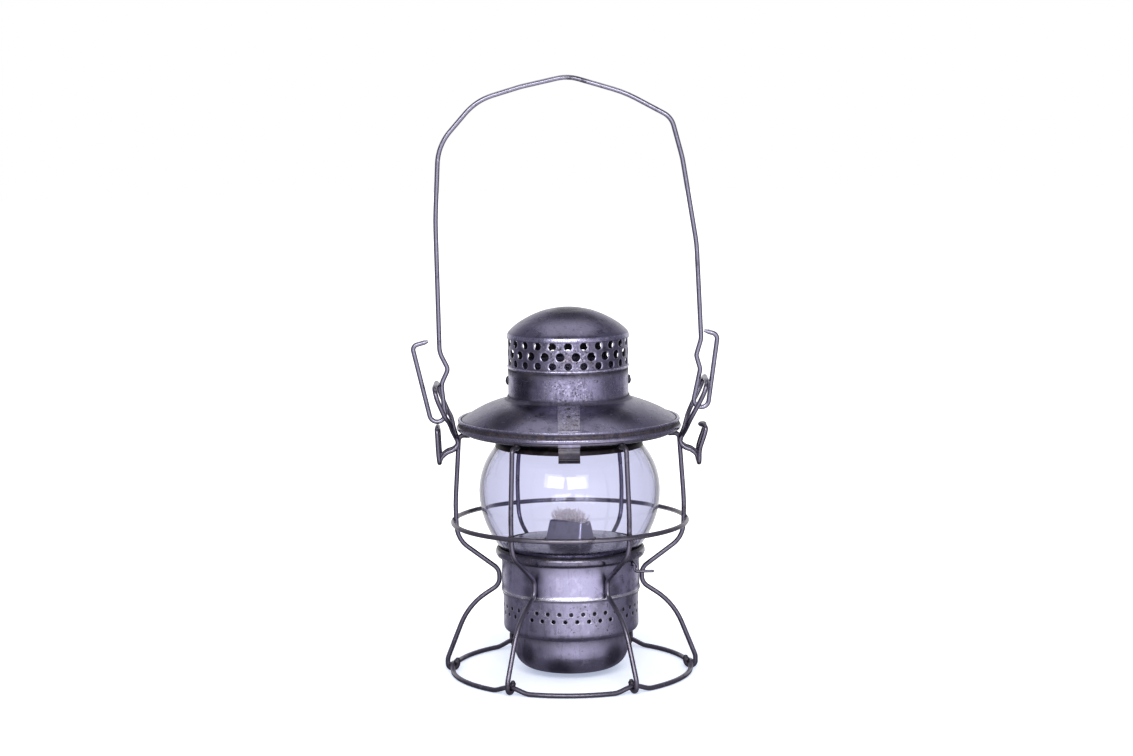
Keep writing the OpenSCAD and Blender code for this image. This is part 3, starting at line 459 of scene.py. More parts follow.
class Finish(Enum):
    """The finishes of the lantern."""

    # The brim's front spots and the dome's top spot are painted dark reflections; two more spots darken the
    # brim at the back.
    LID = TinFinish(
        "lid_tin", body=(0.215, 0.205, 0.29), shade=(0.10, 0.093, 0.138), shine=(0.46, 0.45, 0.59),
        pitting=0.35, scratches=0.4, brown_below=168.3,
        stains_and_dark_reflections=(((-39.0, -45.0, 175.0), 13.0), ((-24.0, -38.0, 181.0), 6.0), ((31.0, -47.0, 178.0), 12.0),
                ((0.0, -15.0, 241.0), 13.0), ((50.0, 20.0, 178.0), 14.0), ((-20.0, 52.0, 178.0), 15.0)))
    # The two spots at the front are pits with lighter scuffs, painted lighter where the front highlight
    # falls.
    BAND = TinFinish(
        "vent_band_tin", body=(0.245, 0.231, 0.318), shine=(0.60, 0.575, 0.71), roughness=0.34, pitting=0.8,
        warmth=0.3, sores_and_front_highlights=(((-6.0, -39.0, 218.0), 12.0), ((6.0, -39.0, 208.0), 12.0)))
    # The front spots are pits with lighter scuffs, painted lighter where the highlight falls; the spots at
    # the left paint a dark reflection band.
    COLLAR = TinFinish(
        "collar_tin", body=(0.355, 0.338, 0.462), roughness=0.27, pitting=0.7, drips=0.35, scratches=0.7,
        sores_and_front_highlights=(((-8.0, -38.8, 190.0), 9.0), ((6.0, -39.2, 192.0), 9.0)),
        stains_and_dark_reflections=(((-29.0, -27.0, 196.0), 8.0), ((-30.0, -26.0, 188.0), 8.0)))
    # The four spots on the front flanks paint dark reflection bands.
    SHELL = TinFinish(
        "shell_tin", body=(0.54, 0.52, 0.68), shade=(0.28, 0.265, 0.36), shine=(0.78, 0.76, 0.92),
        pitting=0.15, warmth=0.05, scratches=0.25,
        stains_and_dark_reflections=(((-25.0, -38.0, 70.0), 7.0), ((-25.0, -38.0, 60.0), 7.0), ((24.0, -38.5, 68.0), 6.0),
                ((27.0, -36.5, 60.0), 6.0)))
    LOWER_SHELL = TinFinish(
        "lower_shell_tin", body=(0.43, 0.415, 0.54), shade=(0.19, 0.18, 0.24), shine=(0.78, 0.76, 0.92),
        roughness=0.34, pitting=0.7, drips=0.4)
    # The dark spots on both flanks are smudges and painted dark reflections; the low front one darkens
    # towards the bottom.
    FOUNT = TinFinish(
        "fount_tin", body=(0.54, 0.52, 0.68), shade=(0.23, 0.22, 0.30), roughness=0.32, pitting=0.3,
        drips=0.15,
        stains_and_dark_reflections=(((28.0, -25.0, 14.0), 8.0), ((-29.0, -24.0, 17.0), 7.0), ((-8.0, -33.0, 6.0), 9.0)))
    # The spot in the strap's middle is pits with lighter scuffs, painted lighter where the front highlight
    # falls.
    STRAP = TinFinish(
        "strap_tin", body=(0.36, 0.34, 0.43), shade=(0.13, 0.115, 0.14), roughness=0.34, pitting=0.9,
        warmth=0.15, drips=0.2, sores_and_front_highlights=(((1.5, -56.0, 178.0), 15.0),))
    LATCH = TinFinish(
        "latch_tin", body=(0.075, 0.07, 0.083), shade=(0.032, 0.028, 0.032), shine=(0.19, 0.18, 0.215),
        roughness=0.36, warmth=0.1)
    # Near black: a sooty sheet, painted darker still for the shade that the brim casts on it.
    SOOTED_AND_SHADED = TinFinish(
        "sooted_tin_with_painted_shade", body=(0.040, 0.033, 0.034), shade=(0.018, 0.014, 0.014), shine=(0.085, 0.075, 0.08),
        roughness=0.48, warmth=0.25)
    DECK = TinFinish(
        "deck_tin", body=(0.165, 0.155, 0.20), shade=(0.05, 0.046, 0.06), shine=(0.42, 0.40, 0.51),
        roughness=0.22, pitting=0.5, warmth=0.2)
    HOOD = TinFinish(
        "hood_tin", body=(0.42, 0.41, 0.50), shade=(0.28, 0.27, 0.33), shine=(0.56, 0.55, 0.65),
        roughness=0.36, pitting=0.05, drips=0.1, scratches=0.15)
    SOLDER = TinFinish(
        "solder_grey", body=(0.12, 0.11, 0.13), shade=(0.045, 0.04, 0.045), shine=(0.30, 0.28, 0.33),
        roughness=0.5, pitting=0.6)
    WIRE = WireFinish("guard_wire_steel")
    BAIL = WireFinish(
        "bail_wire_steel", body=(0.335, 0.325, 0.39), scale=(0.10, 0.094, 0.112), bare=(0.68, 0.655, 0.76),
        roughness=0.22, flaking=0.25)
    RING = WireFinish("ring_wire_steel", body=(0.23, 0.215, 0.245), wear=0.45, flaking=0.8)
    GLASS = GlassFinish("clear_globe_glass")
    COTTON = CottonFinish("wick_cotton")

    def material(self) -> bpy.types.Material:
        """Returns the finish's material, made on first use."""
        made = bpy.data.materials.get(self.value.name)
        return made if made is not None else self.value.material()


def to_object(name: str, data: bpy.types.ID) -> bpy.types.Object:
    """Links a mesh, lamp or camera to the scene as an object at the origin."""
    piece = bpy.data.objects.new(name, data)
    bpy.context.scene.collection.objects.link(piece)
    return piece


def smooth(mesh: bpy.types.Mesh, angle: float = 38.0) -> None:
    """Shades a mesh smooth, apart from edges sharper than the angle in degrees."""
    mesh.polygons.foreach_set("use_smooth", [True] * len(mesh.polygons))
    mesh.set_sharp_from_angle(angle=math.radians(angle))


def finish_piece(piece: bpy.types.Object, finish: Finish, body: str, *nodes: str) -> bpy.types.Object:
    """Dresses a finished mesh and ties it to its body.

    Args:
        piece: Object at the origin.
        finish: Its finish.
        body: Body that it moves with.
        nodes: CAD nodes that it stands for.

    Returns:
        The same object.
    """
    piece.data.materials.clear()
    piece.data.materials.append(finish.material())
    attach(piece, body)
    if nodes:
        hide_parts(*nodes)
    return piece


def dress_node(node: str, finish: Finish) -> None:
    """Gives a CAD node that stays in view a finish.

    Args:
        node: The node.
        finish: Its finish.
    """
    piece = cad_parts[node]
    for place in piece.material_slots:
        place.link = "OBJECT"
        place.material = finish.material()
    LOG.info("%s keeps its solid, finish %s", node, finish.value.name)


def bake(piece: bpy.types.Object) -> None:
    """Keeps what a piece's modifiers make as its plain mesh.

    Args:
        piece: Object with modifiers, which are removed.
    """
    graph = bpy.context.evaluated_depsgraph_get()
    mesh = bpy.data.meshes.new_from_object(piece.evaluated_get(graph), depsgraph=graph)
    piece.modifiers.clear()
    old, piece.data = piece.data, mesh
    bpy.data.meshes.remove(old)


def shape_with(piece: bpy.types.Object, tree: bpy.types.NodeTree, values: dict) -> None:
    """Runs a Geometry Nodes tree on a piece and keeps the result as its plain mesh.

    Args:
        piece: Object whose mesh goes into the tree.
        tree: The tree.
        values: Input name to value.
    """
    modifier = piece.modifiers.new("shape", "NODES")
    modifier.node_group = tree
    for item in tree.interface.items_tree:
        if item.item_type == "SOCKET" and item.in_out == "INPUT" and item.name in values:
            modifier[item.identifier] = values[item.name]
    bake(piece)


def add_grime_and_painted_light(mesh: bpy.types.Mesh, levels: Sequence[float]) -> None:
    """Stores for each point its sooty darkness and painted shade, and where the level is below 0 its worn
    brightness and painted highlight.
    """
    mesh.attributes.new("grime_and_painted_light", "FLOAT", "POINT").data.foreach_set("value", levels)


def to_metres(work: bmesh.types.BMesh) -> None:
    """Scales a bmesh that was drawn in millimetres."""
    bmesh.ops.scale(work, vec=Vector((MM, MM, MM)), verts=work.verts)


def ended(work: bmesh.types.BMesh, name: str, outward: bool = True) -> bpy.types.Mesh:
    """Writes a bmesh to a new mesh and frees it.

    Args:
        work: The bmesh, in metres.
        name: Name of the mesh.
        outward: Whether its faces are turned outward.

    Returns:
        The mesh.
    """
    if outward:
        bmesh.ops.recalc_face_normals(work, faces=work.faces)
    mesh = bpy.data.meshes.new(name)
    work.to_mesh(mesh)
    work.free()
    return mesh


def belts(work: bmesh.types.BMesh, rings: Sequence[Sequence[bmesh.types.BMVert]]) -> None:
    """Adds the faces between each closed ring of points and the next."""
    for a, b in zip(rings, rings[1:]):
        for k, after in enumerate([*range(1, len(a)), 0]):
            work.faces.new((a[k], b[k], b[after], a[after]))


def taken_mesh(piece: bpy.types.Object) -> bpy.types.Mesh:
    """Takes the mesh out of an object, which is removed."""
    mesh = piece.data
    bpy.data.objects.remove(piece)
    return mesh


class ShapeTree:
    """A Geometry Nodes tree with named inputs, built in code."""

    def __init__(self, name: str, *inputs: tuple[str, str, float]) -> None:
        """Makes the tree.

        Args:
            name: Name of the tree.
            inputs: Name, kind of socket and default value of each input between geometry and material.
        """
        self.tree = bpy.data.node_groups.new(name, "GeometryNodeTree")
        face = self.tree.interface
        face.new_socket("Geometry", in_out="INPUT", socket_type="NodeSocketGeometry")
        face.new_socket("Geometry", in_out="OUTPUT", socket_type="NodeSocketGeometry")
        for label, kind, value in inputs:
            socket = face.new_socket(label, in_out="INPUT", socket_type="NodeSocket" + kind)
            socket.default_value = value
        face.new_socket("Material", in_out="INPUT", socket_type="NodeSocketMaterial")
        self.net = Net(self.tree)
        self.source = self.tree.nodes.new("NodeGroupInput")

    def take(self, name: str) -> Val:
        """Returns one of the tree's inputs."""
        return Val(self.net, self.source.outputs[name])

    def attribute(self, name: str, kind: str) -> Val:
        """Reads a named attribute of the points."""
        return self.net.node("GeometryNodeInputNamedAttribute", {"data_type": kind}, {"Name": name})

    def push(self, shape: Val, depth: Val) -> Val:
        """Moves the shape's surface along its normals by a depth in metres."""
        way = self.net.node("ShaderNodeVectorMath", {"operation": "SCALE"}, {
            0: self.net.node("GeometryNodeInputNormal"), "Scale": depth})
        return self.net.node("GeometryNodeSetPosition", {}, {"Geometry": shape, "Offset": way})

    def tube(self, curve: Val, sides: "Val | int", radius: Val) -> Val:
        """Closed round tube along a curve."""
        ring = self.net.node("GeometryNodeCurvePrimitiveCircle", {}, {"Resolution": sides, "Radius": 1.0})
        return self.net.node("GeometryNodeCurveToMesh", {}, {
            "Curve": curve, "Profile Curve": ring, "Scale": radius, "Fill Caps": True})

    def random(self, low: float, high: float, step: int) -> Val:
        """Random number for each point; the step sets its draws apart from the others'."""
        return self.net.node("FunctionNodeRandomValue", {"data_type": "FLOAT"}, {
            2: low, 3: high, "Seed": self.take("Seed") + step}, 1)

    def close(self, shape: Val) -> bpy.types.NodeTree:
        """Realizes the shape, sets its material and ends the tree.

        Args:
            shape: Geometry that the tree makes.

        Returns:
            The finished tree.
        """
        solid = self.net.node("GeometryNodeRealizeInstances", {}, {"Geometry": shape})
        dressed = self.net.node("GeometryNodeSetMaterial", {}, {
            "Geometry": solid, "Material": self.take("Material")})
        self.net.place("NodeGroupOutput", {}, {"Geometry": dressed})
        return self.tree


@cache
def wire_tree() -> bpy.types.NodeTree:
    """Round wire along a line of edges, with hand-worked unevenness.

    Returns:
        The tree, made on first use.
    """
    shape = ShapeTree("wire_on_path", ("Wire Radius", "Float", 0.0016), ("Sides", "Int", 16),
                      ("Unevenness", "Float", 0.0001), ("Seed", "Float", 1.0))
    net = shape.net
    curve = net.node("GeometryNodeMeshToCurve", {}, {"Mesh": shape.take("Geometry")})
    radius = shape.attribute("girth", "FLOAT") * shape.take("Wire Radius")
    lumps = net.node("ShaderNodeTexNoise", {"noise_dimensions": "4D"}, {
        "Vector": net.node("GeometryNodeInputPosition"), "W": shape.take("Seed"), "Scale": 260.0,
        "Detail": 2.0})
    tube = shape.tube(curve, shape.take("Sides"), radius)
    return shape.close(shape.push(tube, (lumps - 0.5) * shape.take("Unevenness")))


@cache
def row_tree() -> bpy.types.NodeTree:
    """Copies of one piece in a ring around the upright axis, welded where they meet.

    Returns:
        The tree, made on first use.
    """
    shape = ShapeTree("ring_of_copies", ("Count", "Int", 24), ("First Turn", "Float", 0.0),
                      ("Weld Distance", "Float", 0.00001))
    net = shape.net
    points = net.node("GeometryNodePoints", {}, {"Count": shape.take("Count")})
    step = net.node("ShaderNodeMath", {"operation": "DIVIDE"}, {0: math.tau, 1: shape.take("Count")})
    turn = net.point(Z=net.node("GeometryNodeInputIndex") * step + shape.take("First Turn"))
    copies = net.node("GeometryNodeInstanceOnPoints", {}, {
        "Points": points, "Instance": shape.take("Geometry"), "Rotation": turn})
    solid = net.node("GeometryNodeRealizeInstances", {}, {"Geometry": copies})
    return shape.close(net.node("GeometryNodeMergeByDistance", {}, {
        "Geometry": solid, "Distance": shape.take("Weld Distance")}))


@cache
def drops_tree() -> bpy.types.NodeTree:
    """Irregular drops of solder on points that carry a size.

    Returns:
        The tree, made on first use.
    """
    shape = ShapeTree("solder_drops", ("Drop Radius", "Float", 0.001), ("Roughness", "Float", 0.35),
                      ("Seed", "Int", 3))
    net = shape.net
    ball = net.node("GeometryNodeMeshIcoSphere", {}, {"Radius": shape.take("Drop Radius"), "Subdivisions": 4})
    spin = net.node("FunctionNodeRandomValue", {"data_type": "FLOAT_VECTOR"}, {
        0: (-0.5, -0.5, -0.5), 1: (0.5, 0.5, 0.5), "Seed": shape.take("Seed")})
    drops = net.node("GeometryNodeInstanceOnPoints", {}, {
        "Points": shape.take("Geometry"), "Instance": ball, "Rotation": spin,
        "Scale": shape.attribute("size", "FLOAT_VECTOR")})
    solid = net.node("GeometryNodeRealizeInstances", {}, {"Geometry": drops})
    rough = net.node("ShaderNodeTexNoise", {}, {
        "Vector": net.node("GeometryNodeInputPosition"), "Scale": 520.0, "Detail": 3.0})
    return shape.close(shape.push(solid, (rough - 0.5) * shape.take("Roughness") * shape.take("Drop Radius")))


@cache
def fibres_tree() -> bpy.types.NodeTree:
    """Loose cotton fibres that stand on a patch and lean apart.

    Returns:
        The tree, made on first use.
    """
    shape = ShapeTree("cotton_fibres", ("Count", "Int", 520), ("Width", "Float", 0.022),
                      ("Depth", "Float", 0.002), ("Length", "Float", 0.008), ("Lean", "Float", 0.35),
                      ("Fibre Radius", "Float", 0.00013), ("Seed", "Int", 5))
    net = shape.net
    across, deep, sway, nod = (shape.random(-0.5, 0.5, step) for step in (0, 7, 19, 23))
    tall, spin = shape.random(0.72, 1.12, 13), shape.random(0.0, 6.28, 29)
    length, lean = shape.take("Length"), shape.take("Lean")
    foot = net.point(X=across * shape.take("Width"), Y=deep * shape.take("Depth"))
    points = net.node("GeometryNodePoints", {}, {"Count": shape.take("Count"), "Position": foot})
    line = net.node("GeometryNodeCurvePrimitiveBezierSegment", {}, {
        "Resolution": 6, "Start": (0, 0, 0), "Start Handle": (0.0, 0.0, 0.35),
        "End Handle": (0.10, 0.04, 0.7), "End": (0.02, 0.0, 1.0)})
    size = net.point(X=length, Y=length, Z=length * tall * (0.9 + across * across * 1.3))
    hairs = net.node("GeometryNodeInstanceOnPoints", {}, {
        "Points": points, "Instance": line, "Rotation": net.point(Z=spin), "Scale": size})
    hairs = net.node("GeometryNodeRotateInstances", {}, {
        "Instances": hairs, "Local Space": False,
        "Rotation": net.point(X=nod * lean * 1.6, Y=across * lean * 1.5 + sway * lean)})
    hairs = net.node("GeometryNodeRealizeInstances", {}, {"Geometry": hairs})
    return shape.close(shape.tube(hairs, 5, shape.take("Fibre Radius")))


def at_azimuth(azimuth: float, radius: float, height: float) -> Vector:
    """Returns a point in millimetres; azimuth is in degrees from the front towards the right."""
    turn = math.radians(azimuth)
    return Vector((radius * math.sin(turn), -radius * math.cos(turn), height))


def fillet(path: Sequence[Station], step: float = 5.0) -> list[Vector]:
    """Rounds the corners of a flat path.

    Args:
        path: Corner points with the bend radius at each, in millimetres.
        step: Degrees for each piece of a bend.

    Returns:
        Dense flat points.
    """
    points = [Vector((x, z)) for x, z, _ in path]
    dense = [points[0]]
    for before, here, after, (_, _, radius) in zip(points, points[1:], points[2:], path[1:]):
        inward, outward = (here - before).normalized(), (after - here).normalized()
        angle = math.atan2(inward.x * outward.y - inward.y * outward.x, inward.dot(outward))
        side = math.copysign(1.0, angle)
        start = here - inward * radius * math.tan(abs(angle) / 2)
        normal = Vector((-inward.y, inward.x))
        centre = start + normal * side * radius
        count = max(2, round(abs(math.degrees(angle)) / step))
        for k in range(count + 1):
            turned = angle * k / count
            dense.append(centre - side * radius * (normal * math.cos(turned) - inward * math.sin(turned)))
    dense.append(points[-1])
    return dense


def spread(points: Sequence[Vector], gap: float) -> list[Vector]:
    """Adds points on long straight runs.

    Args:
        points: Corners of the line.
        gap: Longest gap in millimetres.

    Returns:
        The line with the points between.
    """
    dense = [points[0]]
    for a, b in zip(points, points[1:]):
        count = max(1, math.ceil((b - a).length / gap))
        dense.extend(a.lerp(b, k / count) for k in range(1, count + 1))
    return dense


def closed_curve(points: Sequence[Vector], count: int) -> list[Vector]:
    """Smooth closed curve through points.

    Args:
        points: The points.
        count: Steps from one to the next.

    Returns:
        The dense curve.
    """
    dense: list[Vector] = []
    total = len(points)
    for i in range(total):
        a, b, c, d = (points[(i + k) % total] for k in (-1, 0, 1, 2))
        for k in range(count):
            t = k / count
            dense.append(0.5 * (2 * b + (c - a) * t + (2 * a - 5 * b + 4 * c - d) * t * t
                                + (3 * b - a - 3 * c + d) * t ** 3))
    return dense


@dataclass
class Wire:
    """One bent wire: its centre line in millimetres and how it is finished."""

    name: str
    line: list[Vector]
    finish: Finish
    body: str
    nodes: tuple[str, ...] = ()
    diameter: float = 3.2
    closed: bool = False
    unevenness: float = 0.10
    knots: tuple[tuple[Vector, float, float], ...] = ()
    seed: float = 1.0

    def girth(self, place: Vector) -> float:
        """Share of the plain radius at a place.

        Args:
            place: A point of the line.

        Returns:
            1, and more at a knot.
        """
        swell = 1.0
        for centre, reach, extra in self.knots:
            swell += extra * math.exp(-((place - centre).length / reach) ** 2)
        return swell

    def darkness(self, place: Vector) -> float:
        """How burnt and dirty the wire is at a place: most at its knots."""
        burns = (math.exp(-((place - centre).length / (reach * 1.8)) ** 2) for centre, reach, _ in self.knots)
        return min(1.0, sum(burns))

    def tips(self) -> list[float]:
        """Rounds the ends of an open wire.

        Returns:
            Share of the radius at each point.
        """
        count, tip = len(self.line), self.diameter / 4
        shares = [1.0] * count
        for order in () if self.closed else (range(count), range(count - 1, -1, -1)):
            for i in order:
                away = (self.line[i] - self.line[order[0]]).length
                if away > tip:
                    break
                shares[i] = 0.55 + 0.45 * math.sqrt(max(0.0, 1 - (1 - away / tip) ** 2))
        return shares

    def build(self) -> bpy.types.Object:
        """Makes the wire and ties it to its body.

        Returns:
            The wire.
        """
        mesh = bpy.data.meshes.new(self.name)
        count = len(self.line)
        edges = [(i, i + 1) for i in range(count - 1)] + ([(count - 1, 0)] if self.closed else [])
        mesh.from_pydata([p * MM for p in self.line], edges, [])
        girth = mesh.attributes.new("girth", "FLOAT", "POINT")
        girth.data.foreach_set("value", [self.girth(p) * share for p, share in zip(self.line, self.tips())])
        add_grime_and_painted_light(mesh, [self.darkness(p) for p in self.line])
        piece = to_object(self.name, mesh)
        shape_with(piece, wire_tree(), {
            "Wire Radius": self.diameter / 2 * MM, "Sides": 20, "Unevenness": self.unevenness * MM,
            "Seed": self.seed, "Material": self.finish.material()})
        smooth(piece.data, 60.0)
        LOG.info("%s: %d faces", self.name, len(piece.data.polygons))
        return finish_piece(piece, self.finish, self.body, *self.nodes)


@dataclass
class Solder:
    """Drops of solder on one body: place, and radii along each axis, in millimetres."""

    name: str
    body: str
    drops: list[tuple[Vector, Station]] = field(default_factory=list)
    roughness: float = 0.5

    def add(self, place: Vector, radii: Station) -> None:
        """Adds a drop."""
        self.drops.append((place, radii))

    def build(self) -> bpy.types.Object:
        """Makes all drops as one piece.

        Returns:
            The piece.
        """
        mesh = bpy.data.meshes.new(self.name)
        mesh.from_pydata([p * MM for p, _ in self.drops], [], [])
        size = mesh.attributes.new("size", "FLOAT_VECTOR", "POINT")
        size.data.foreach_set("vector", [v for _, radii in self.drops for v in radii])
        piece = to_object(self.name, mesh)
        shape_with(piece, drops_tree(), {
            "Drop Radius": MM, "Roughness": self.roughness, "Seed": 3, "Material": Finish.SOLDER.material()})
        smooth(piece.data, ROUND)
        LOG.info("%s: %d drops", self.name, len(self.drops))
        return finish_piece(piece, Finish.SOLDER, self.body)


def spun(name: str, profile: Points, segments: int = 256,
         grime_and_painted_light: Sequence[float] | None = None, wobble: float = 0.0, closed: bool = True) -> bpy.types.Object:
    """Turns a profile about the upright axis.

    Args:
        name: Name of the piece.
        profile: Radius and height of each point in millimetres, counter-clockwise where it is closed.
        segments: Steps around.
        grime_and_painted_light: How dirty each point is, from 0 to 1, with painted shade in it; below 0 for
            worn bright edges with painted highlights.
        wobble: Depth in millimetres of slow dents.
        closed: Whether the last point joins the first.

    Returns:
        The object, without a finish.
    """
    verts: list[Vector] = []
    rings: list[list[int]] = []
    dirt_and_painted_light: list[float] = []
    turns = [math.tau * k / segments for k in range(segments)]
    for (radius, height), level in zip(profile, grime_and_painted_light or [0.0] * len(profile)):
        start = len(verts)
        if radius < ON_AXIS:
            rings.append([start] * segments)
            verts.append(Vector((0.0, 0.0, height)))
        else:
            rings.append(list(range(start, start + segments)))
            for angle in turns:
                place = Vector((radius * math.cos(angle), radius * math.sin(angle), height))
                if wobble:
                    push = noise.noise(place * DENTS_PER_MM + DENTS_FROM) * wobble
                    place.x += push * math.cos(angle)
                    place.y += push * math.sin(angle)
                verts.append(place)
        dirt_and_painted_light += [level] * (len(verts) - start)
    faces = []
    for low, high in zip(rings, rings[1:] + rings[:1] if closed else rings[1:]):
        for k, after in enumerate([*range(1, segments), 0]):
            face = list(dict.fromkeys((low[k], low[after], high[after], high[k])))
            if len(face) > 2:
                faces.append(face)
    mesh = bpy.data.meshes.new(name)
    mesh.from_pydata([v * MM for v in verts], [], faces)
    add_grime_and_painted_light(mesh, dirt_and_painted_light)
    work = bmesh.new()
    work.from_mesh(mesh)
    bpy.data.meshes.remove(mesh)
    mesh = ended(work, name)
    smooth(mesh)
    return to_object(name, mesh)


def sheet_profile(outer: Points, thick: float) -> Profile:
    """Closes an outer face into a sheet, thick on the right-hand side of its run.

    Args:
        outer: Radius and height of the outer face's points.
        thick: Thickness in millimetres.

    Returns:
        The closed outline.
    """
    points = [Vector(p) for p in outer]
    inner = []
    for i, here in enumerate(points):
        before = (here - points[i - 1]).normalized() if i else (points[1] - points[0]).normalized()
        after = (points[i + 1] - here).normalized() if i < len(points) - 1 else before
        normal = Vector((-(before.y + after.y), before.x + after.x)).normalized()
        inner.append(here - normal * thick)
    return [tuple(p) for p in points] + [(max(0.0, p.x), p.y) for p in reversed(inner)]


def arc(centre: tuple[float, float], radius: float, start: float, end: float, count: int) -> Profile:
    """Points on an arc, with angles in degrees."""
    angles = [math.radians(start + (end - start) * k / count) for k in range(count + 1)]
    return [(centre[0] + radius * math.cos(a), centre[1] + radius * math.sin(a)) for a in angles]


def soften(points: Points, passes: int = 2) -> Profile:
    """Rounds a profile by corner cutting, with its ends kept.

    Args:
        points: The profile.
        passes: How often its corners are cut.

    Returns:
        The rounder profile.
    """
    line = [Vector(p) for p in points]
    for _ in range(passes):
        cut = [line[0]]
        for a, b in zip(line, line[1:]):
            cut.extend((a.lerp(b, 0.25), a.lerp(b, 0.75)))
        cut.append(line[-1])
        line = cut
    return [tuple(p) for p in line]


@dataclass
class PunchedRow:
    """One row of punched holes in a round wall: a curved cell with a hole, copied around the axis."""

    radius: float
    thick: float
    low: float
    high: float
    hole: float
    hole_z: float
    count: int
    first_turn: float
    lip: float = 0.28
    # How light the rims around the holes are: worn edges with a painted highlight.
    rim_wear_and_highlight: float = 0.75

    def _cell(self) -> bpy.types.Object:
        """Makes one cell at the front: outer wall, rolled lip, bore and inner wall.

        Returns:
            The cell, open at its borders.
        """
        half = math.pi / self.count
        sides, side = 32, 8
        work = bmesh.new()
        dirt_and_painted_light: list[float] = []

        def border(k: int) -> tuple[float, float]:
            """Point on the unit square's border, evenly spaced, so that neighbours and strips meet it."""
            edge, along = ((k + side // 2) // side) % 4, ((k + side // 2) % side) / (side / 2) - 1
            return ((1.0, along), (-along, 1.0), (-1.0, -along), (along, -1.0))[edge]

        def ring(scale: float, radius: float, level: float = 0.0) -> list[bmesh.types.BMVert]:
            """Points around the hole.

            Args:
                scale: 0 at the hole and 1 at the cell's border.
                radius: Distance from the lantern's axis.
                level: Above 0 sooty with painted shade, below 0 worn bright with a painted highlight.

            Returns:
                The points.
            """
            made = []
            for k in range(sides):
                angle = math.tau * k / sides
                hx = self.hole / 2 * math.cos(angle) / self.radius
                hz = self.hole / 2 * math.sin(angle) + self.hole_z
                bx, bz = border(k)
                bx *= half
                bz = (self.high + self.low) / 2 + (self.high - self.low) / 2 * bz
                turn, height = hx + (bx - hx) * scale, hz + (bz - hz) * scale
                place = (radius * math.sin(turn) * MM, -radius * math.cos(turn) * MM, height * MM)
                made.append(work.verts.new(place))
                dirt_and_painted_light.append(level)
            return made

        inner, lip = self.radius - self.thick, self.radius - self.lip
        # Lighter rims round each hole: worn edges with painted highlights; the bore and inner wall are sooty
        # and painted dark for the shade inside the wall.
        belts(work, [
            ring(1.0, self.radius), ring(0.45, self.radius), ring(0.20, self.radius, -0.5 * self.rim_wear_and_highlight),
            ring(0.09, self.radius - self.lip * 0.25, -self.rim_wear_and_highlight), ring(0.0, lip, 0.2),
            ring(0.0, inner, 1.0), ring(0.5, inner, 1.0), ring(1.0, inner, 1.0)])
        mesh = ended(work, "punched_cell", outward=False)
        add_grime_and_painted_light(mesh, dirt_and_painted_light)
        return to_object("punched_cell", mesh)

    def build(self) -> bpy.types.Mesh:
        """Copies the cell around the axis.

        Returns:
            The row's mesh.
        """
        piece = self._cell()
        shape_with(piece, row_tree(), {
            "Count": self.count, "First Turn": self.first_turn, "Weld Distance": 0.004 * MM,
            "Material": Finish.BAND.material()})
        return taken_mesh(piece)


def welded(name: str, meshes: Sequence[bpy.types.Mesh], distance: float = 0.02) -> bpy.types.Object:
    """Joins meshes into one piece and welds what meets.

    Args:
        name: Name of the piece.
        meshes: The parts.
        distance: Weld distance in millimetres.

    Returns:
        The object, without a finish.
    """
    work = bmesh.new()
    for mesh in meshes:
        work.from_mesh(mesh)
    bmesh.ops.remove_doubles(work, verts=work.verts, dist=distance * MM)
    mesh = ended(work, name)
    smooth(mesh)
    return to_object(name, mesh)


def punched_wall(name: str, rows: Sequence[PunchedRow],
                 strips: Sequence[tuple[Profile, Sequence[float] | None]]) -> bpy.types.Object:
    """Joins rows of punched holes and the plain strips above and below them into one wall.

    Args:
        name: Name of the piece.
        rows: The rows.
        strips: Open outline of each strip, and how dirty each of its points is.

    Returns:
        The object, without a finish.
    """
    meshes = [row.build() for row in rows]
    for profile, levels in strips:
        meshes.append(taken_mesh(spun("strip", profile, rows[0].count * 8, levels, closed=False)))
    return welded(name, meshes)


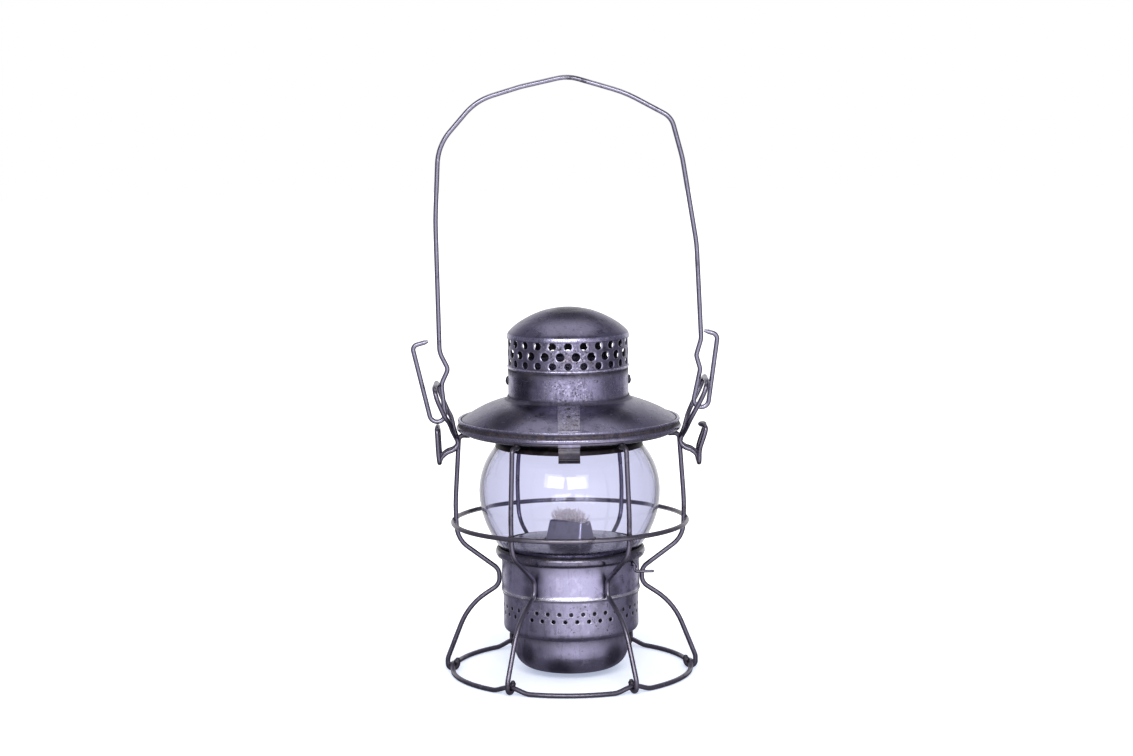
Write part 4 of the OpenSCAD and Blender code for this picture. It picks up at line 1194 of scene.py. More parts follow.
@dataclass
class GuardFrame:
    """The brazed wire frame: rings, upright wires, ears and its solder."""

    wire: float = 3.2
    base_ring_r: float = 79.2
    guard_ring_r: float = 77.17
    guard_ring_z: float = 100.9
    leg_at_guard: float = 75.17
    top_ring_r: float = 67.2
    top_ring_z: float = 161.55
    rise_angle: float = 10.5
    feet: tuple[tuple[str, float], ...] = (
        ("guard_wire_left", -90.0), ("guard_wire_front_left", -30.0), ("guard_wire_front_right", 30.0),
        ("guard_wire_right", 90.0), ("guard_wire_rear_right", 150.0), ("guard_wire_rear_left", 210.0))
    leg_path: tuple[Station, ...] = (
        (64.0, 158.3, 0.0), (72.5, 158.3, 3.4), (75.6, 112.0, 140.0), (74.7, 88.9, 18.0), (47.25, 68.4, 8.0),
        (47.25, 58.3, 8.0), (68.2, 44.5, 45.0), (82.45, 8.5, 9.0), (82.45, 1.6, 3.2), (75.95, 1.6, 3.2),
        (75.95, 8.64, 0.0))

    def base_line(self) -> list[Vector]:
        """Centre line of the base ring, which rises over each foot.

        Returns:
            The closed line.
        """
        line = []
        for k in range(540):
            azimuth = 360.0 * k / 540
            off = abs(azimuth % 60 - 30)
            crest = 0.5 + 0.5 * math.cos(math.pi * off / self.rise_angle)
            rise = 0.0 if off > self.rise_angle else (self.wire + 0.05) * crest
            line.append(at_azimuth(azimuth, self.base_ring_r, self.wire / 2 + rise))
        return line

    def upright(self, azimuth: float) -> list[Vector]:
        """Centre line of the upright wire at an azimuth."""
        flat = spread(fillet(self.leg_path), 2.0)
        return [at_azimuth(azimuth, p.x, p.y) for p in flat]

    def ring(self, radius: float, height: float) -> list[Vector]:
        """Centre line of a level ring."""
        return [at_azimuth(360.0 * k / 360, radius, height) for k in range(360)]

    def ear(self, lean: float, side: float, top: float, low: float) -> list[Vector]:
        """Centre line of one ear.

        Args:
            lean: How far its eye leans out, 1 as drawn.
            side: -1 on the left and 1 on the right.
            top: Height of the eye's top.
            low: Height of the rest loop's lowest bend.

        Returns:
            The closed centre line, eye above and rest loop below.
        """
        half_w, flank, rest, root = 20.0, 3.25, 164.0, 73.3
        half = [
            (14.0, 0, top), (14.0, half_w - 7.5, top), (13.5, half_w - 1.5, top - 1.9),
            (12.3, half_w, top - 6.5), (10.4, half_w - 0.2, top - 11.5), (7.4, half_w - 1.6, top - 18.5),
            (4.7, half_w - 5.5, 168.5), (2.9, half_w - 11.5, 162.3), (1.3, flank + 1.2, 158.0),
            (0, flank, 154.9), (0.4, flank + 0.1, 151.8), (3.1, flank + 0.7, 149.2),
            (7.1, flank + 1.2, 147.6), (10.4, flank + 1.3, 144.8), (11.6, flank + 1.7, low + 1.8),
            (11.9, flank + 3.5, low), (12.1, flank + 5.3, low + 1.8), (12.6, flank + 5.6, 149.0),
            (13.0, flank + 5.4, rest - 5), (13.3, flank + 3.9, rest - 0.9), (13.3, 0, rest)]
        leaned = []
        for out, y, z in half:
            x = out + root
            if z > 155 and x > root and (y > half_w * 0.2 or z > rest + 9):
                x = root + (x - root) * lean
            leaned.append(Vector((x * side, y, z)))
        mirrored = [Vector((p.x, -p.y, p.z)) for p in leaned[-2:0:-1]]
        return closed_curve(leaned + mirrored, 10)

    def build(self) -> None:
        """Builds the frame's wires and the drops of solder at their crossings."""
        solder = Solder("frame_solder", "frame")
        for number, (name, azimuth) in enumerate(self.feet):
            hook, head = at_azimuth(azimuth, 75.95, 7.6), at_azimuth(azimuth, 66.0, 158.3)
            Wire(name + "_steel", self.upright(azimuth), Finish.WIRE, "frame", (name,),
                 knots=((hook, 2.3, 0.30), (head, 3.2, 0.12)), seed=number + 2.0).build()
            for radius, height, radii in (
                    (self.leg_at_guard + 1.5, self.guard_ring_z - 1.7, (1.1, 1.1, 0.9)),
                    (self.leg_at_guard + 1.5, self.guard_ring_z + 1.7, (1.1, 1.1, 0.9)),
                    (self.top_ring_r + 0.3, self.top_ring_z - 2.0, (1.9, 1.9, 1.2)),
                    (self.base_ring_r - 2.6, 5.8, (2.0, 2.0, 2.3)),
                    (self.base_ring_r + 2.2, 4.6, (1.3, 1.3, 1.7))):
                solder.add(at_azimuth(azimuth, radius, height), radii)
        loops = (("base_ring", self.base_line(), Finish.WIRE, 0.12),
                 ("guard_ring", self.ring(self.guard_ring_r, self.guard_ring_z), Finish.RING, 0.10),
                 ("top_ring", self.ring(self.top_ring_r, self.top_ring_z), Finish.WIRE, 0.05),
                 ("ear_left", self.ear(1.0, -1.0, 191.8, 141.2), Finish.WIRE, 0.10),
                 ("ear_right", self.ear(1.22, 1.0, 194.0, 139.5), Finish.WIRE, 0.10))
        for number, (name, line, finish, unevenness) in enumerate(loops):
            Wire(name + "_steel", line, finish, "frame", (name,), closed=True, unevenness=unevenness,
                 seed=number + 11.0).build()
        for side in (-1.0, 1.0):
            for across in (-2.2, 2.2):
                solder.add(Vector((side * 73.5, across, 153.4)), (1.3, 1.2, 2.6))
                solder.add(Vector((side * 73.0, across, 156.0)), (1.0, 1.0, 1.6))
        solder.build()
        dress_node("hinge_base", Finish.LID)
        dress_node("hinge_pin", Finish.WIRE)
        LOG.info("guard frame built")


@dataclass
class Shell:
    """The body below the globe: two shells, gallery, deck, flange and the fount catch."""

    sheet: float = 0.6
    radius: float = 45.6
    lower_radius: float = 44.8
    bead_z: float = 56.0
    gallery_z: float = 81.1
    bulge: float = 3.9
    floor_z: float = 79.7
    deck_z: float = 86.9
    deck_r: float = 41.68
    hole: float = 2.65
    holes: int = 36
    catch_azimuth: float = 62.0
    catch_r: float = 47.3
    rows_z: float = 44.0
    row_h: float = 4.8
    floor_in: float = 41.75
    floor_out: float = 48.9

    def slot_cutter(self) -> bpy.types.Object:
        """Block with rounded corners that cuts the slot for the catch.

        Returns:
            The block.
        """
        work = bmesh.new()
        bmesh.ops.create_cube(work, size=1.0)
        bmesh.ops.bevel(work, geom=[e for e in work.edges if abs((e.verts[0].co - e.verts[1].co).y) > 0.9],
                        offset=0.3, segments=4, affect="EDGES")
        bmesh.ops.scale(work, vec=Vector((3.8, 8.0, 6.0)) * MM, verts=work.verts)
        bmesh.ops.transform(work, matrix=Matrix.Rotation(math.radians(self.catch_azimuth), 4, "Z")
                            @ Matrix.Translation(Vector((0, -self.radius, 76.5)) * MM), verts=work.verts)
        return to_object("slot_cutter", ended(work, "slot_cutter", outward=False))

    def upper(self) -> None:
        """Plain upper wall with its bead and the slot of the catch."""
        bead, waist = self.bead_z, self.lower_radius
        outer = [(self.radius, self.gallery_z - self.bulge - 0.05), (self.radius, 70.0)]
        outer += [(self.radius, bead + 3.0)] + soften([
            (self.radius, bead + 2.4), (self.radius + 0.2, bead + 1.5), (self.radius + 0.55, bead + 0.5),
            (self.radius + 0.45, bead - 0.6), (waist + 0.75, bead - 1.3), (waist + 0.65, bead - 2.2)])
        profile = sheet_profile(outer, self.sheet)
        # Sooty and painted shade in the crease under the bead and under the gallery; worn, with a painted
        # highlight, on the bead's crest.
        dirt_and_painted_light = [0.55 if abs(z - bead + 1.9) < 0.9 or z > self.gallery_z - 5.5 else
                -0.8 if r > self.radius + 0.3 else 0.0 for r, z in profile]
        piece = spun("upper_shell_skin", profile, 288, dirt_and_painted_light, wobble=0.25)
        slot = self.slot_cutter()
        cut = piece.modifiers.new("slot", "BOOLEAN")
        cut.object, cut.operation = slot, "DIFFERENCE"
        bake(piece)
        bpy.data.objects.remove(slot)
        smooth(piece.data)
        finish_piece(piece, Finish.SHELL, "frame", "upper_shell")

    def lower(self) -> None:
        """Lower wall with two staggered rows of punched holes."""
        radius, inner = self.lower_radius, self.lower_radius - self.sheet
        high, low = self.rows_z + self.row_h, self.rows_z - self.row_h
        # The air holes get only faint painted highlights on their rims.
        rows = [PunchedRow(radius, self.sheet, bottom, top, self.hole, hole_z, self.holes, turn,
                           lip=0.15, rim_wear_and_highlight=0.35)
                for bottom, top, hole_z, turn in (
                    (self.rows_z, high, 46.4, 0.0), (low, self.rows_z, 41.6, math.pi / self.holes))]
        above = [(radius, high), (radius, self.bead_z), (inner, self.bead_z), (inner, high)]
        below = [(radius, low), (radius, 33.5)] + soften([
            (radius, 32.6), (radius - 0.2, 31.0), (radius - 0.9, 29.6), (radius - 2.6, 28.4), (40.2, 27.6),
            (38.6, 27.2), (38.3, 27.2)])
        below = sheet_profile(below, self.sheet)
        piece = punched_wall("lower_shell_skin", rows, [(above, None), (below, None)])
        finish_piece(piece, Finish.LOWER_SHELL, "frame", "lower_shell")

    def gallery(self) -> None:
        """Swaged ring around the foot of the globe, with its floor."""
        outer = arc((self.radius, self.gallery_z), self.bulge, 60, -96, 28)
        profile = sheet_profile(outer, self.sheet)
        # Sooty and painted shade at the swage's top and bottom and on its floor; a faint painted highlight on
        # its crest.
        dirt_and_painted_light = [0.75 if z > self.gallery_z + 2.2 or (z < self.gallery_z - 3.5) else
                -0.15 if r > self.radius + self.bulge - 0.5 else 0.1 for r, z in profile]
        piece = spun("globe_gallery_skin", profile, 288, dirt_and_painted_light, wobble=0.18)
        top = self.floor_z + self.sheet
        floor = spun("gallery_floor", [
            (self.floor_in, self.floor_z), (self.floor_out, self.floor_z), (self.floor_out, top),
            (self.floor_in, top)], 288, [0.9] * 4)
        joined = welded("globe_gallery_steel", [taken_mesh(piece), taken_mesh(floor)], distance=0.001)
        finish_piece(joined, Finish.DECK, "frame", "globe_gallery")

    def deck(self) -> None:
        """Raised deck inside the foot of the globe."""
        outer = [(17.55, self.deck_z + 1.1), (25.5, self.deck_z + 0.95), (33.0, self.deck_z + 0.4)] + soften(
            [(38.0, self.deck_z + 0.05), (40.4, self.deck_z - 0.25), (41.3, self.deck_z - 0.9),
             (self.deck_r, self.deck_z - 1.9), (self.deck_r, self.floor_z)])
        profile = sheet_profile(outer, self.sheet)
        dirt_and_painted_light = [0.25 if r < 20 else 0.05 for r, _ in profile]
        piece = spun("burner_deck_skin", profile, 256, dirt_and_painted_light, wobble=0.2)
        finish_piece(piece, Finish.DECK, "frame", "burner_deck")

    def catch(self) -> None:
        """Wire catch: finger through the slot, stem and thumb arm."""
        high, low, bend, reach = 75.9, 70.3, 2.0, 13.0
        root = at_azimuth(self.catch_azimuth, self.catch_r, 0)
        finger = fillet([(self.catch_r - 5.4, high, 0), (self.catch_r, high, bend),
                         (self.catch_r, low + bend, 0)], 8)
        arm = fillet([(0, low + bend + 0.01, 0), (0, low, bend), (reach, low, 0)], 8)
        line = [at_azimuth(self.catch_azimuth, p.x, p.y) for p in finger[:-1]]
        line += [Vector((root.x + p.x, root.y, p.y)) for p in arm]
        Wire("fount_catch_steel", spread(line, 1.0), Finish.WIRE, "catch", ("fount_catch",), diameter=2.0,
             seed=21.0).build()

    def build(self) -> None:
        """Builds the body below the globe."""
        self.upper()
        self.lower()
        self.gallery()
        self.deck()
        self.catch()
        dress_node("bayonet_ring", Finish.DECK)
        dress_node("catch_eye", Finish.DECK)
        LOG.info("shell built")


@dataclass
class Globe:
    """The glass globe: two arcs that meet at the belly, a straight neck and fire-polished rims."""

    belly_r: float = 59.7
    belly_z: float = 121.5
    upper_arc: float = 45.5
    lower_arc: float = 59.0
    glass: float = 3.0
    neck_r: float = 42.6
    foot_bore: float = 42.58
    foot_z: float = 80.6
    top_z: float = 161.5

    def wall(self, inset: float) -> Profile:
        """One face of the glass, from foot to neck.

        Args:
            inset: Distance in from the outer face, 0 for the outer face.

        Returns:
            The face's profile.
        """
        radius_low, radius_high = self.lower_arc - inset, self.upper_arc - inset
        centre_low, centre_high = self.belly_r - self.lower_arc, self.belly_r - self.upper_arc
        if inset:
            foot = -math.degrees(math.acos((self.foot_bore - centre_low) / radius_low))
        else:
            foot = math.degrees(math.asin((self.foot_z + 2.6 - self.belly_z) / radius_low))
        neck = math.degrees(math.acos((self.neck_r - inset - centre_high) / radius_high))
        low = arc((centre_low, self.belly_z), radius_low, foot, 0, 40)
        high = arc((centre_high, self.belly_z), radius_high, 0, neck, 40)
        return low + high[1:]

    def build(self) -> None:
        """Makes the globe as one closed wall of glass."""
        outer, inner = self.wall(0.0), self.wall(self.glass)
        throat = [outer[-1], (self.neck_r, outer[-1][1] + 1.0), (self.neck_r, self.top_z - 0.6)]
        throat = soften(throat, passes=1)[1:]
        rim = arc((self.neck_r - self.glass / 2, self.top_z - 1.5), self.glass / 2, 0, 180, 12)
        foot_out, foot_in = outer[0][0], inner[0][0]
        foot = [(foot_in, self.foot_z + 0.8), (foot_in + 0.6, self.foot_z), (foot_out - 1.0, self.foot_z),
                (foot_out - 0.3, self.foot_z + 0.8)]
        profile = foot + outer + [p for p in throat if p[1] < self.top_z - 1.6] + rim + list(reversed(inner))
        piece = spun("globe_blown", profile, 320, wobble=0.12)
        smooth(piece.data, 80.0)
        finish_piece(piece, Finish.GLASS, "frame", "globe")
        LOG.info("globe built")


@dataclass
class Lid:
    """The hinged lid: dome, vent band, collar, brim, latch, hinge leaf and globe retainer."""

    sheet: float = 0.6
    collar_r: float = 39.6
    band_r: float = 39.5
    seam_z: float = 201.8
    bead_z: float = 204.0
    dome_r: float = 40.15
    brim_top: float = 182.6
    groove_r: float = 70.3
    groove_z: float = 169.3
    strap_w: float = 14.4
    strap_t: float = 0.7
    latch_r: float = 69.1
    latch_top: float = 159.65
    latch_end: float = 151.2
    vents: int = 24

    def brim_z(self, radius: float) -> float:
        """Height of the brim's outer face at a radius."""
        u = (radius - self.collar_r) / (self.groove_r - self.collar_r)
        return self.brim_top - (self.brim_top - self.groove_z) * (0.42 * u + 0.58 * u * u)

    def dome(self) -> None:
        """Dome cap with its rolled shoulder and short skirt."""
        outer = [(0.0, 242.6)] + soften([
            (3.0, 242.55), (8.0, 242.1), (15.0, 240.7), (18.0, 239.8), (24.5, 237.2), (31.0, 233.6),
            (34.4, 231.2), (37.4, 228.6), (39.5, 226.4), (self.dome_r, 224.3), (self.dome_r, 222.9)])
        profile = sheet_profile(outer, self.sheet)
        # Sooty and painted shade at the skirt's lower edge; a painted highlight ring, with wear, on the
        # shoulder from 223.3 to 226 mm.
        dirt_and_painted_light = [0.4 if z < 223.3 else -0.55 if z < 226.0 else 0.0 for _, z in profile]
        piece = spun("dome_cap_skin", profile, 256, dirt_and_painted_light, wobble=0.35, closed=False)
        finish_piece(piece, Finish.LID, "lid", "dome_cap")

    def band(self) -> None:
        """Vent band: three staggered rows of punched holes over a bead."""
        half_step = math.pi / self.vents
        rows = [PunchedRow(self.band_r, self.sheet, low, high, hole, hole_z, self.vents, turn)
                for low, high, hole, hole_z, turn in (
                    (217.2, 224.1, 5.0, 220.4, 0.0), (210.3, 217.2, 5.6, 213.7, half_step),
                    (205.1, 210.3, 4.8, 207.6, 0.0))]
        outer = [(self.band_r, 205.1)] + arc((self.band_r - 0.45, self.bead_z), 1.05, 65, -65, 12) + [
            (self.band_r, self.bead_z - 1.3), (self.band_r, self.seam_z)]
        bead = sheet_profile(outer, self.sheet)
        # Sooty and painted shade under the bead, worn and with a painted highlight on its crest; the top
        # strip under the dome's skirt is sooty and painted dark for shade.
        dirt_and_painted_light = [0.85 if z < self.bead_z - 1.1 else -0.9 if r > self.band_r + 0.35 else 0.0 for r, z in bead]
        inner = self.band_r - self.sheet
        top = [(inner, 224.1), (inner, 224.9), (self.band_r, 224.9), (self.band_r, 224.1)]
        piece = punched_wall("vent_band_skin", rows, [(bead, dirt_and_painted_light), (top, [0.9] * 4)])
        finish_piece(piece, Finish.BAND, "lid", "vent_band")

    def collar(self) -> None:
        """Chimney collar and two side lugs; its lapped front seam is not modelled."""
        heights = (self.seam_z - 0.05, 198.0, 194.0, 190.0, 187.0, 184.5, 183.0, 180.0, 164.5)
        profile = sheet_profile([(self.collar_r, z) for z in heights], self.sheet)
        # Sooty and painted shade at the top seam under the band, along the seam with the brim and below the
        # brim's top.
        dirt_and_painted_light = [0.8 if z > self.seam_z - 0.5 else 0.6 if 182 < z < 184.7 else 0.9 if z < 181 else 0.0
                for _, z in profile]
        piece = spun("chimney_collar_skin", profile, 256, dirt_and_painted_light)
        finish_piece(piece, Finish.COLLAR, "lid", "chimney_collar")
        for side, name in ((-1, "collar_lug_left"), (1, "collar_lug_right")):
            work = bmesh.new()
            bmesh.ops.create_uvsphere(work, u_segments=32, v_segments=20, radius=1.0)
            for vert in work.verts:
                vert.co = Vector((vert.co.x * 1.35, vert.co.y * 1.9, vert.co.z * 3.0))
                vert.co.x += 0.35 * noise.noise(vert.co * 0.6)
            place = Vector((side * (self.collar_r + 0.2), -1.0, 194.6))
            bmesh.ops.translate(work, vec=place, verts=work.verts)
            to_metres(work)
            mesh = ended(work, name, outward=False)
            smooth(mesh, ROUND)
            finish_piece(to_object(name, mesh), Finish.SOLDER, "lid")

    def brim(self) -> None:
        """Brim: soft hump, groove, outer ridge and rolled edge."""
        start, waves_end = self.collar_r + 0.65, 70.0
        slope = [start + (self.groove_r - start) * k / 40 for k in range(40)]
        outer = [(start, self.brim_top + 2.2)]
        outer += [(r, self.brim_z(r) + 1.3 * math.exp(-(r - start) / 1.1)) for r in slope]
        outer += soften([
            (self.groove_r, self.groove_z), (70.8, 168.9), (71.4, 169.5), (72.2, 169.9), (72.95, 169.5),
            (73.15, 168.7), (72.9, 167.7), (72.7, 166.7), (72.85, 165.8), (73.4, 165.1), (73.8, 164.3),
            (73.8, 163.4), (73.3, 162.5), (72.3, 162.1), (71.3, 162.4), (70.9, 163.3)])

        def level(r: float, z: float) -> float:
            """Sooty places and painted shade in the seam, groove and folds, and worn ridges with painted
            highlights.

            Args:
                r: Radius of a point of the outer face.
                z: Its height.

            Returns:
                Above 0 the sooty and painted shade there, below 0 the worn edge and painted highlight.
            """
            if r < start + 1.6 or z < 163.0:
                return 0.45
            if abs(r - 70.8) < 0.45 and z > 168:
                return 0.9
            if 165.4 < z < 168.3 and r > 72.5:
                return 0.85
            return -0.5 if (r > 73.3 and z < 165.0) or (r > 71.3 and z > 168.9) else 0.0

        # The inner face is sooty and painted dark for the shade under the brim.
        dirt_and_painted_light = [level(*place) for place in outer] + [0.9] * len(outer)
        piece = spun("lid_brim_skin", sheet_profile(outer, 0.5), 288, dirt_and_painted_light)
        for vert in piece.data.vertices:
            place = vert.co / MM
            radius = math.hypot(place.x, place.y)
            if radius < waves_end:
                share = math.sin(math.pi * min(1.0, max(0.0, (radius - start) / (waves_end - start))))
                place.z += share * 0.7 * noise.noise(Vector((place.x, place.y, 4.0)) * 0.03)
                vert.co = place * MM
        finish_piece(piece, Finish.LID, "lid", "lid_brim")

    def ribbon(self, name: str, line: Points, width: float, bow: float = 0.0) -> bpy.types.Object:
        """Flat strip across the front.

        Args:
            name: Name of the piece.
            line: Distance forward and height of its outer face.
            width: Width across.
            bow: How far the edges fall back, as on a strip that follows a round wall.

        Returns:
            The object, without a finish.
        """
        outline = sheet_profile(line, self.strap_t)
        work = bmesh.new()
        columns = 15
        grid = []
        for c in range(columns):
            across = c / (columns - 1) - 0.5
            back = bow * (2 * across) ** 2
            grid.append([work.verts.new(Vector((width * across, -(r - back), z)) * MM) for r, z in outline])
        belts(work, grid)
        work.faces.new(grid[0])
        work.faces.new(list(reversed(grid[-1])))
        piece = to_object(name, ended(work, name))
        edge = piece.modifiers.new("edge", "BEVEL")
        edge.width, edge.segments = 0.16 * MM, 2
        edge.limit_method, edge.angle_limit = "ANGLE", math.radians(50)
        bake(piece)
        smooth(piece.data)
        return piece

    def latch(self) -> None:
        """Latch strap and the springing barrel end; the strap's two punch marks come from the kept rivet
        solid.
        """
        start, out = self.collar_r + self.sheet + 1.2, self.latch_r + self.strap_t
        radii = [start + (self.latch_r - start) * k / 20 for k in range(21)]
        line = [(r, self.brim_z(r) + self.strap_t + 0.1) for r in radii]
        line += [(out, self.brim_z(self.latch_r) - 0.7), (out, self.latch_top + 0.3)]
        piece = self.ribbon("latch_strap_steel", line, self.strap_w, 0.35)
        finish_piece(piece, Finish.STRAP, "lid", "latch_strap")
        drop = self.latch_top - self.latch_end
        spring = [(out, self.latch_top), (out, self.latch_top - 0.06 * drop)]
        spring += [(out + 1.0 * math.sin(math.radians(9 * k)), self.latch_top - drop * (0.08 + 0.041 * k))
                   for k in range(1, 20)]
        spring += [(out - 0.35, self.latch_end + 0.75), (out + 0.2, self.latch_end + 0.1),
                   (out + 1.2, self.latch_end - 1.1)]
        piece = self.ribbon("latch_spring_steel", soften(spring, passes=1), self.strap_w - 0.6)
        finish_piece(piece, Finish.LATCH, "latch", "latch_spring")

    def retainer(self) -> None:
        """Dark ring that holds the globe down, with its coil spring."""
        outer = [(40.5, 172.5), (40.5, 164.6)] + soften([
            (40.6, 163.9), (42.5, 163.7), (45.2, 163.0), (46.2, 160.0), (46.7, 157.0), (47.3, 155.2),
            (48.4, 153.8), (48.7, 151.1)])
        piece = spun("globe_retainer_skin", sheet_profile(outer, self.sheet))
        # The ring's near-black finish is sooty, and painted darker for the shade under the brim.
        finish_piece(piece, Finish.SOOTED_AND_SHADED, "retainer", "globe_retainer")
        steps, low, high, radius = 180, 164.8, 180.85, 41.95
        line = [at_azimuth(90 + 6.0 * k, radius, low + (high - low) * k / steps) for k in range(steps + 1)]
        spring = Wire("retainer_spring_steel", line, Finish.WIRE, "lid", ("retainer_spring",), diameter=1.2,
                      unevenness=0.02, seed=31.0).build()
        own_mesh(spring)

    def build(self) -> None:
        """Builds the lid."""
        self.dome()
        self.band()
        self.collar()
        self.brim()
        self.latch()
        self.retainer()
        dress_node("hinge_leaf", Finish.LID)
        dress_node("strap_rivets", Finish.SOLDER)
        solder = Solder("lid_solder", "lid")
        rng = random.Random(8)
        for k in range(9):
            across = -6.5 + 13.0 * k / 8
            ahead = math.sqrt((self.collar_r + 0.5) ** 2 - across ** 2)
            place = Vector((across, -ahead, 183.6 + rng.uniform(-0.3, 0.5)))
            solder.add(place, (1.0, 0.5, rng.uniform(0.5, 1.0)))
        solder.build()
        LOG.info("lid built")


@dataclass
class Fount:
    """The oil fount: drawn cup, top and lugs."""

    radius: float = 37.6
    bottom: float = 3.2
    round_r: float = 13.0
    top: float = 62.0
    sheet: float = 0.6

    def build(self) -> None:
        """Builds the cup; the top and lugs keep their solids."""
        flat = self.radius - self.round_r
        outer = [(0.0, self.bottom + 0.5), (10.0, self.bottom + 0.42), (flat - 3, self.bottom + 0.1)]
        outer += arc((flat, self.bottom + self.round_r), self.round_r, -90, 0, 24)
        outer += [(self.radius, 20.0), (self.radius, 28.0), (self.radius, self.top)]
        inner = [(0.0, self.bottom + 1.1), (flat - 3, self.bottom + 0.7)]
        inner += arc((flat, self.bottom + self.round_r), self.round_r - self.sheet, -90, 0, 12)
        inner += [(self.radius - self.sheet, self.top)]
        profile = outer + list(reversed(inner))
        # Darker in a band at 26 to 29 mm, and painted shade along the bottom edge.
        dirt_and_painted_light = [0.7 if 26.0 < z < 29.0 else 0.25 if z < 5.0 else 0.0 for _, z in profile]
        piece = spun("fount_cup_skin", profile, 256, dirt_and_painted_light, wobble=0.2, closed=False)
        finish_piece(piece, Finish.FOUNT, "fount", "fount_cup")
        dress_node("fount_top", Finish.FOUNT)
        dress_node("fount_lugs", Finish.FOUNT)
        LOG.info("fount built")


@dataclass
class Burner:
    """The burner: body, hood, wick with loose fibres, and the feed."""

    yaw: float = -35.0
    hood_z: float = 88.15
    hood_h: float = 12.6
    hood_w: float = 28.6
    hood_d: float = 18.2
    top_w: float = 26.0
    top_d: float = 11.4
    wick_w: float = 21.8
    wick_t: float = 1.8
    wick_top: float = 108.95
    wick_low: float = 15.2
    weave_top: float = 101.5

    def turned(self) -> Matrix:
        """Turn of the burner about the lantern's axis."""
        return Matrix.Rotation(math.radians(self.yaw), 4, "Z")

    def hood(self) -> None:
        """Folded flame hood with rounded corners, open slot and a creased front."""
        work = bmesh.new()
        levels = ((0.0, self.hood_w, self.hood_d), (0.06, self.hood_w - 0.2, self.hood_d - 0.3),
                  (0.5, 27.2, 14.8), (0.9, self.top_w + 0.15, self.top_d + 0.6),
                  (0.97, self.top_w - 0.3, self.top_d - 0.1), (1.0, self.top_w - 1.2, self.top_d - 1.2))
        slot_w, slot_d, sides, power = 24.6, 4.0, 96, 0.15

        def oval(share: float, wide: float, deep: float, inset: float = 0.0) -> list[bmesh.types.BMVert]:
            """One level of the hood's wall.

            Args:
                share: Share of the hood's height.
                wide: Width.
                deep: Depth.
                inset: Distance in from the outer face.

            Returns:
                The points.
            """
            made = []
            z = self.hood_z + self.hood_h * share - (inset if share > 0.5 else 0.0)
            for k in range(sides):
                angle = math.tau * k / sides
                c, s = math.cos(angle), math.sin(angle)
                x = math.copysign(abs(c) ** power, c) * (wide / 2 - inset)
                y = math.copysign(abs(s) ** power, s) * (deep / 2 - inset)
                made.append(work.verts.new((x, y, z)))
            return made

        chain = [oval(*level) for level in levels] + [oval(1.0, slot_w, slot_d)]
        chain.append([work.verts.new(v.co + Vector((0, 0, -0.5))) for v in chain[-1]])
        chain += [oval(*levels[k], 0.5) for k in (4, 2, 0)]
        for a, b in zip(chain, chain[1:] + chain[:1]):
            for k, after in enumerate([*range(1, sides), 0]):
                work.faces.new((a[k], a[after], b[after], b[k]))
        bmesh.ops.transform(work, matrix=self.turned(), verts=work.verts)
        to_metres(work)
        mesh = ended(work, "flame_hood_skin")
        smooth(mesh, 30)
        finish_piece(to_object("flame_hood_skin", mesh), Finish.HOOD, "fount", "flame_hood")

    def wick(self) -> None:
        """Woven wick with a frayed head of loose fibres."""
        work = bmesh.new()
        columns, rows = 24, 40
        for y, flip in ((-self.wick_t / 2, False), (self.wick_t / 2, True)):
            ridges = [y * (0.8 + 0.2 * math.cos(i * math.pi)) for i in range(columns + 1)]
            heights = [self.wick_low + (self.weave_top - self.wick_low) * j / rows for j in range(rows + 1)]
            grid = [[work.verts.new((self.wick_w * (i / columns - 0.5), ridge, z))
                     for i, ridge in enumerate(ridges)] for z in heights]
            for a, b in zip(grid, grid[1:]):
                for i in range(columns):
                    face = (a[i], a[i + 1], b[i + 1], b[i])
                    work.faces.new(face[::-1] if flip else face)
        bmesh.ops.remove_doubles(work, verts=work.verts, dist=0.0001)
        bmesh.ops.bridge_loops(work, edges=[e for e in work.edges if e.is_boundary])
        bmesh.ops.recalc_face_normals(work, faces=work.faces)
        bmesh.ops.transform(work, matrix=self.turned(), verts=work.verts)
        to_metres(work)
        mesh = ended(work, "wick_weave", outward=False)
        finish_piece(to_object("wick_weave", mesh), Finish.COTTON, "wick", "wick")
        seed = bpy.data.meshes.new("wick_fibres")
        seed.from_pydata([(0, 0, 0)], [], [])
        fibres = to_object("wick_fibres", seed)
        shape_with(fibres, fibres_tree(), {
            "Count": 520, "Width": (self.wick_w - 0.2) * MM, "Depth": self.wick_t * MM,
            "Length": (self.wick_top - self.weave_top) * MM, "Lean": 0.8, "Fibre Radius": 0.17 * MM,
            "Seed": 5, "Material": Finish.COTTON.material()})
        fibres.data.transform(self.turned() @ Matrix.Translation(Vector((0, 0, self.weave_top - 0.3)) * MM))
        smooth(fibres.data, ROUND)
        finish_piece(fibres, Finish.COTTON, "wick")
        LOG.info("wick: %d faces of fibre", len(fibres.data.polygons))

    def build(self) -> None:
        """Builds the burner; its inner parts keep their solids."""
        self.hood()
        self.wick()
        for node in ("burner_body", "wick_tube", "wick_shaft", "feed_wheels", "wick_knob"):
            dress_node(node, Finish.DECK)
        LOG.info("burner built")


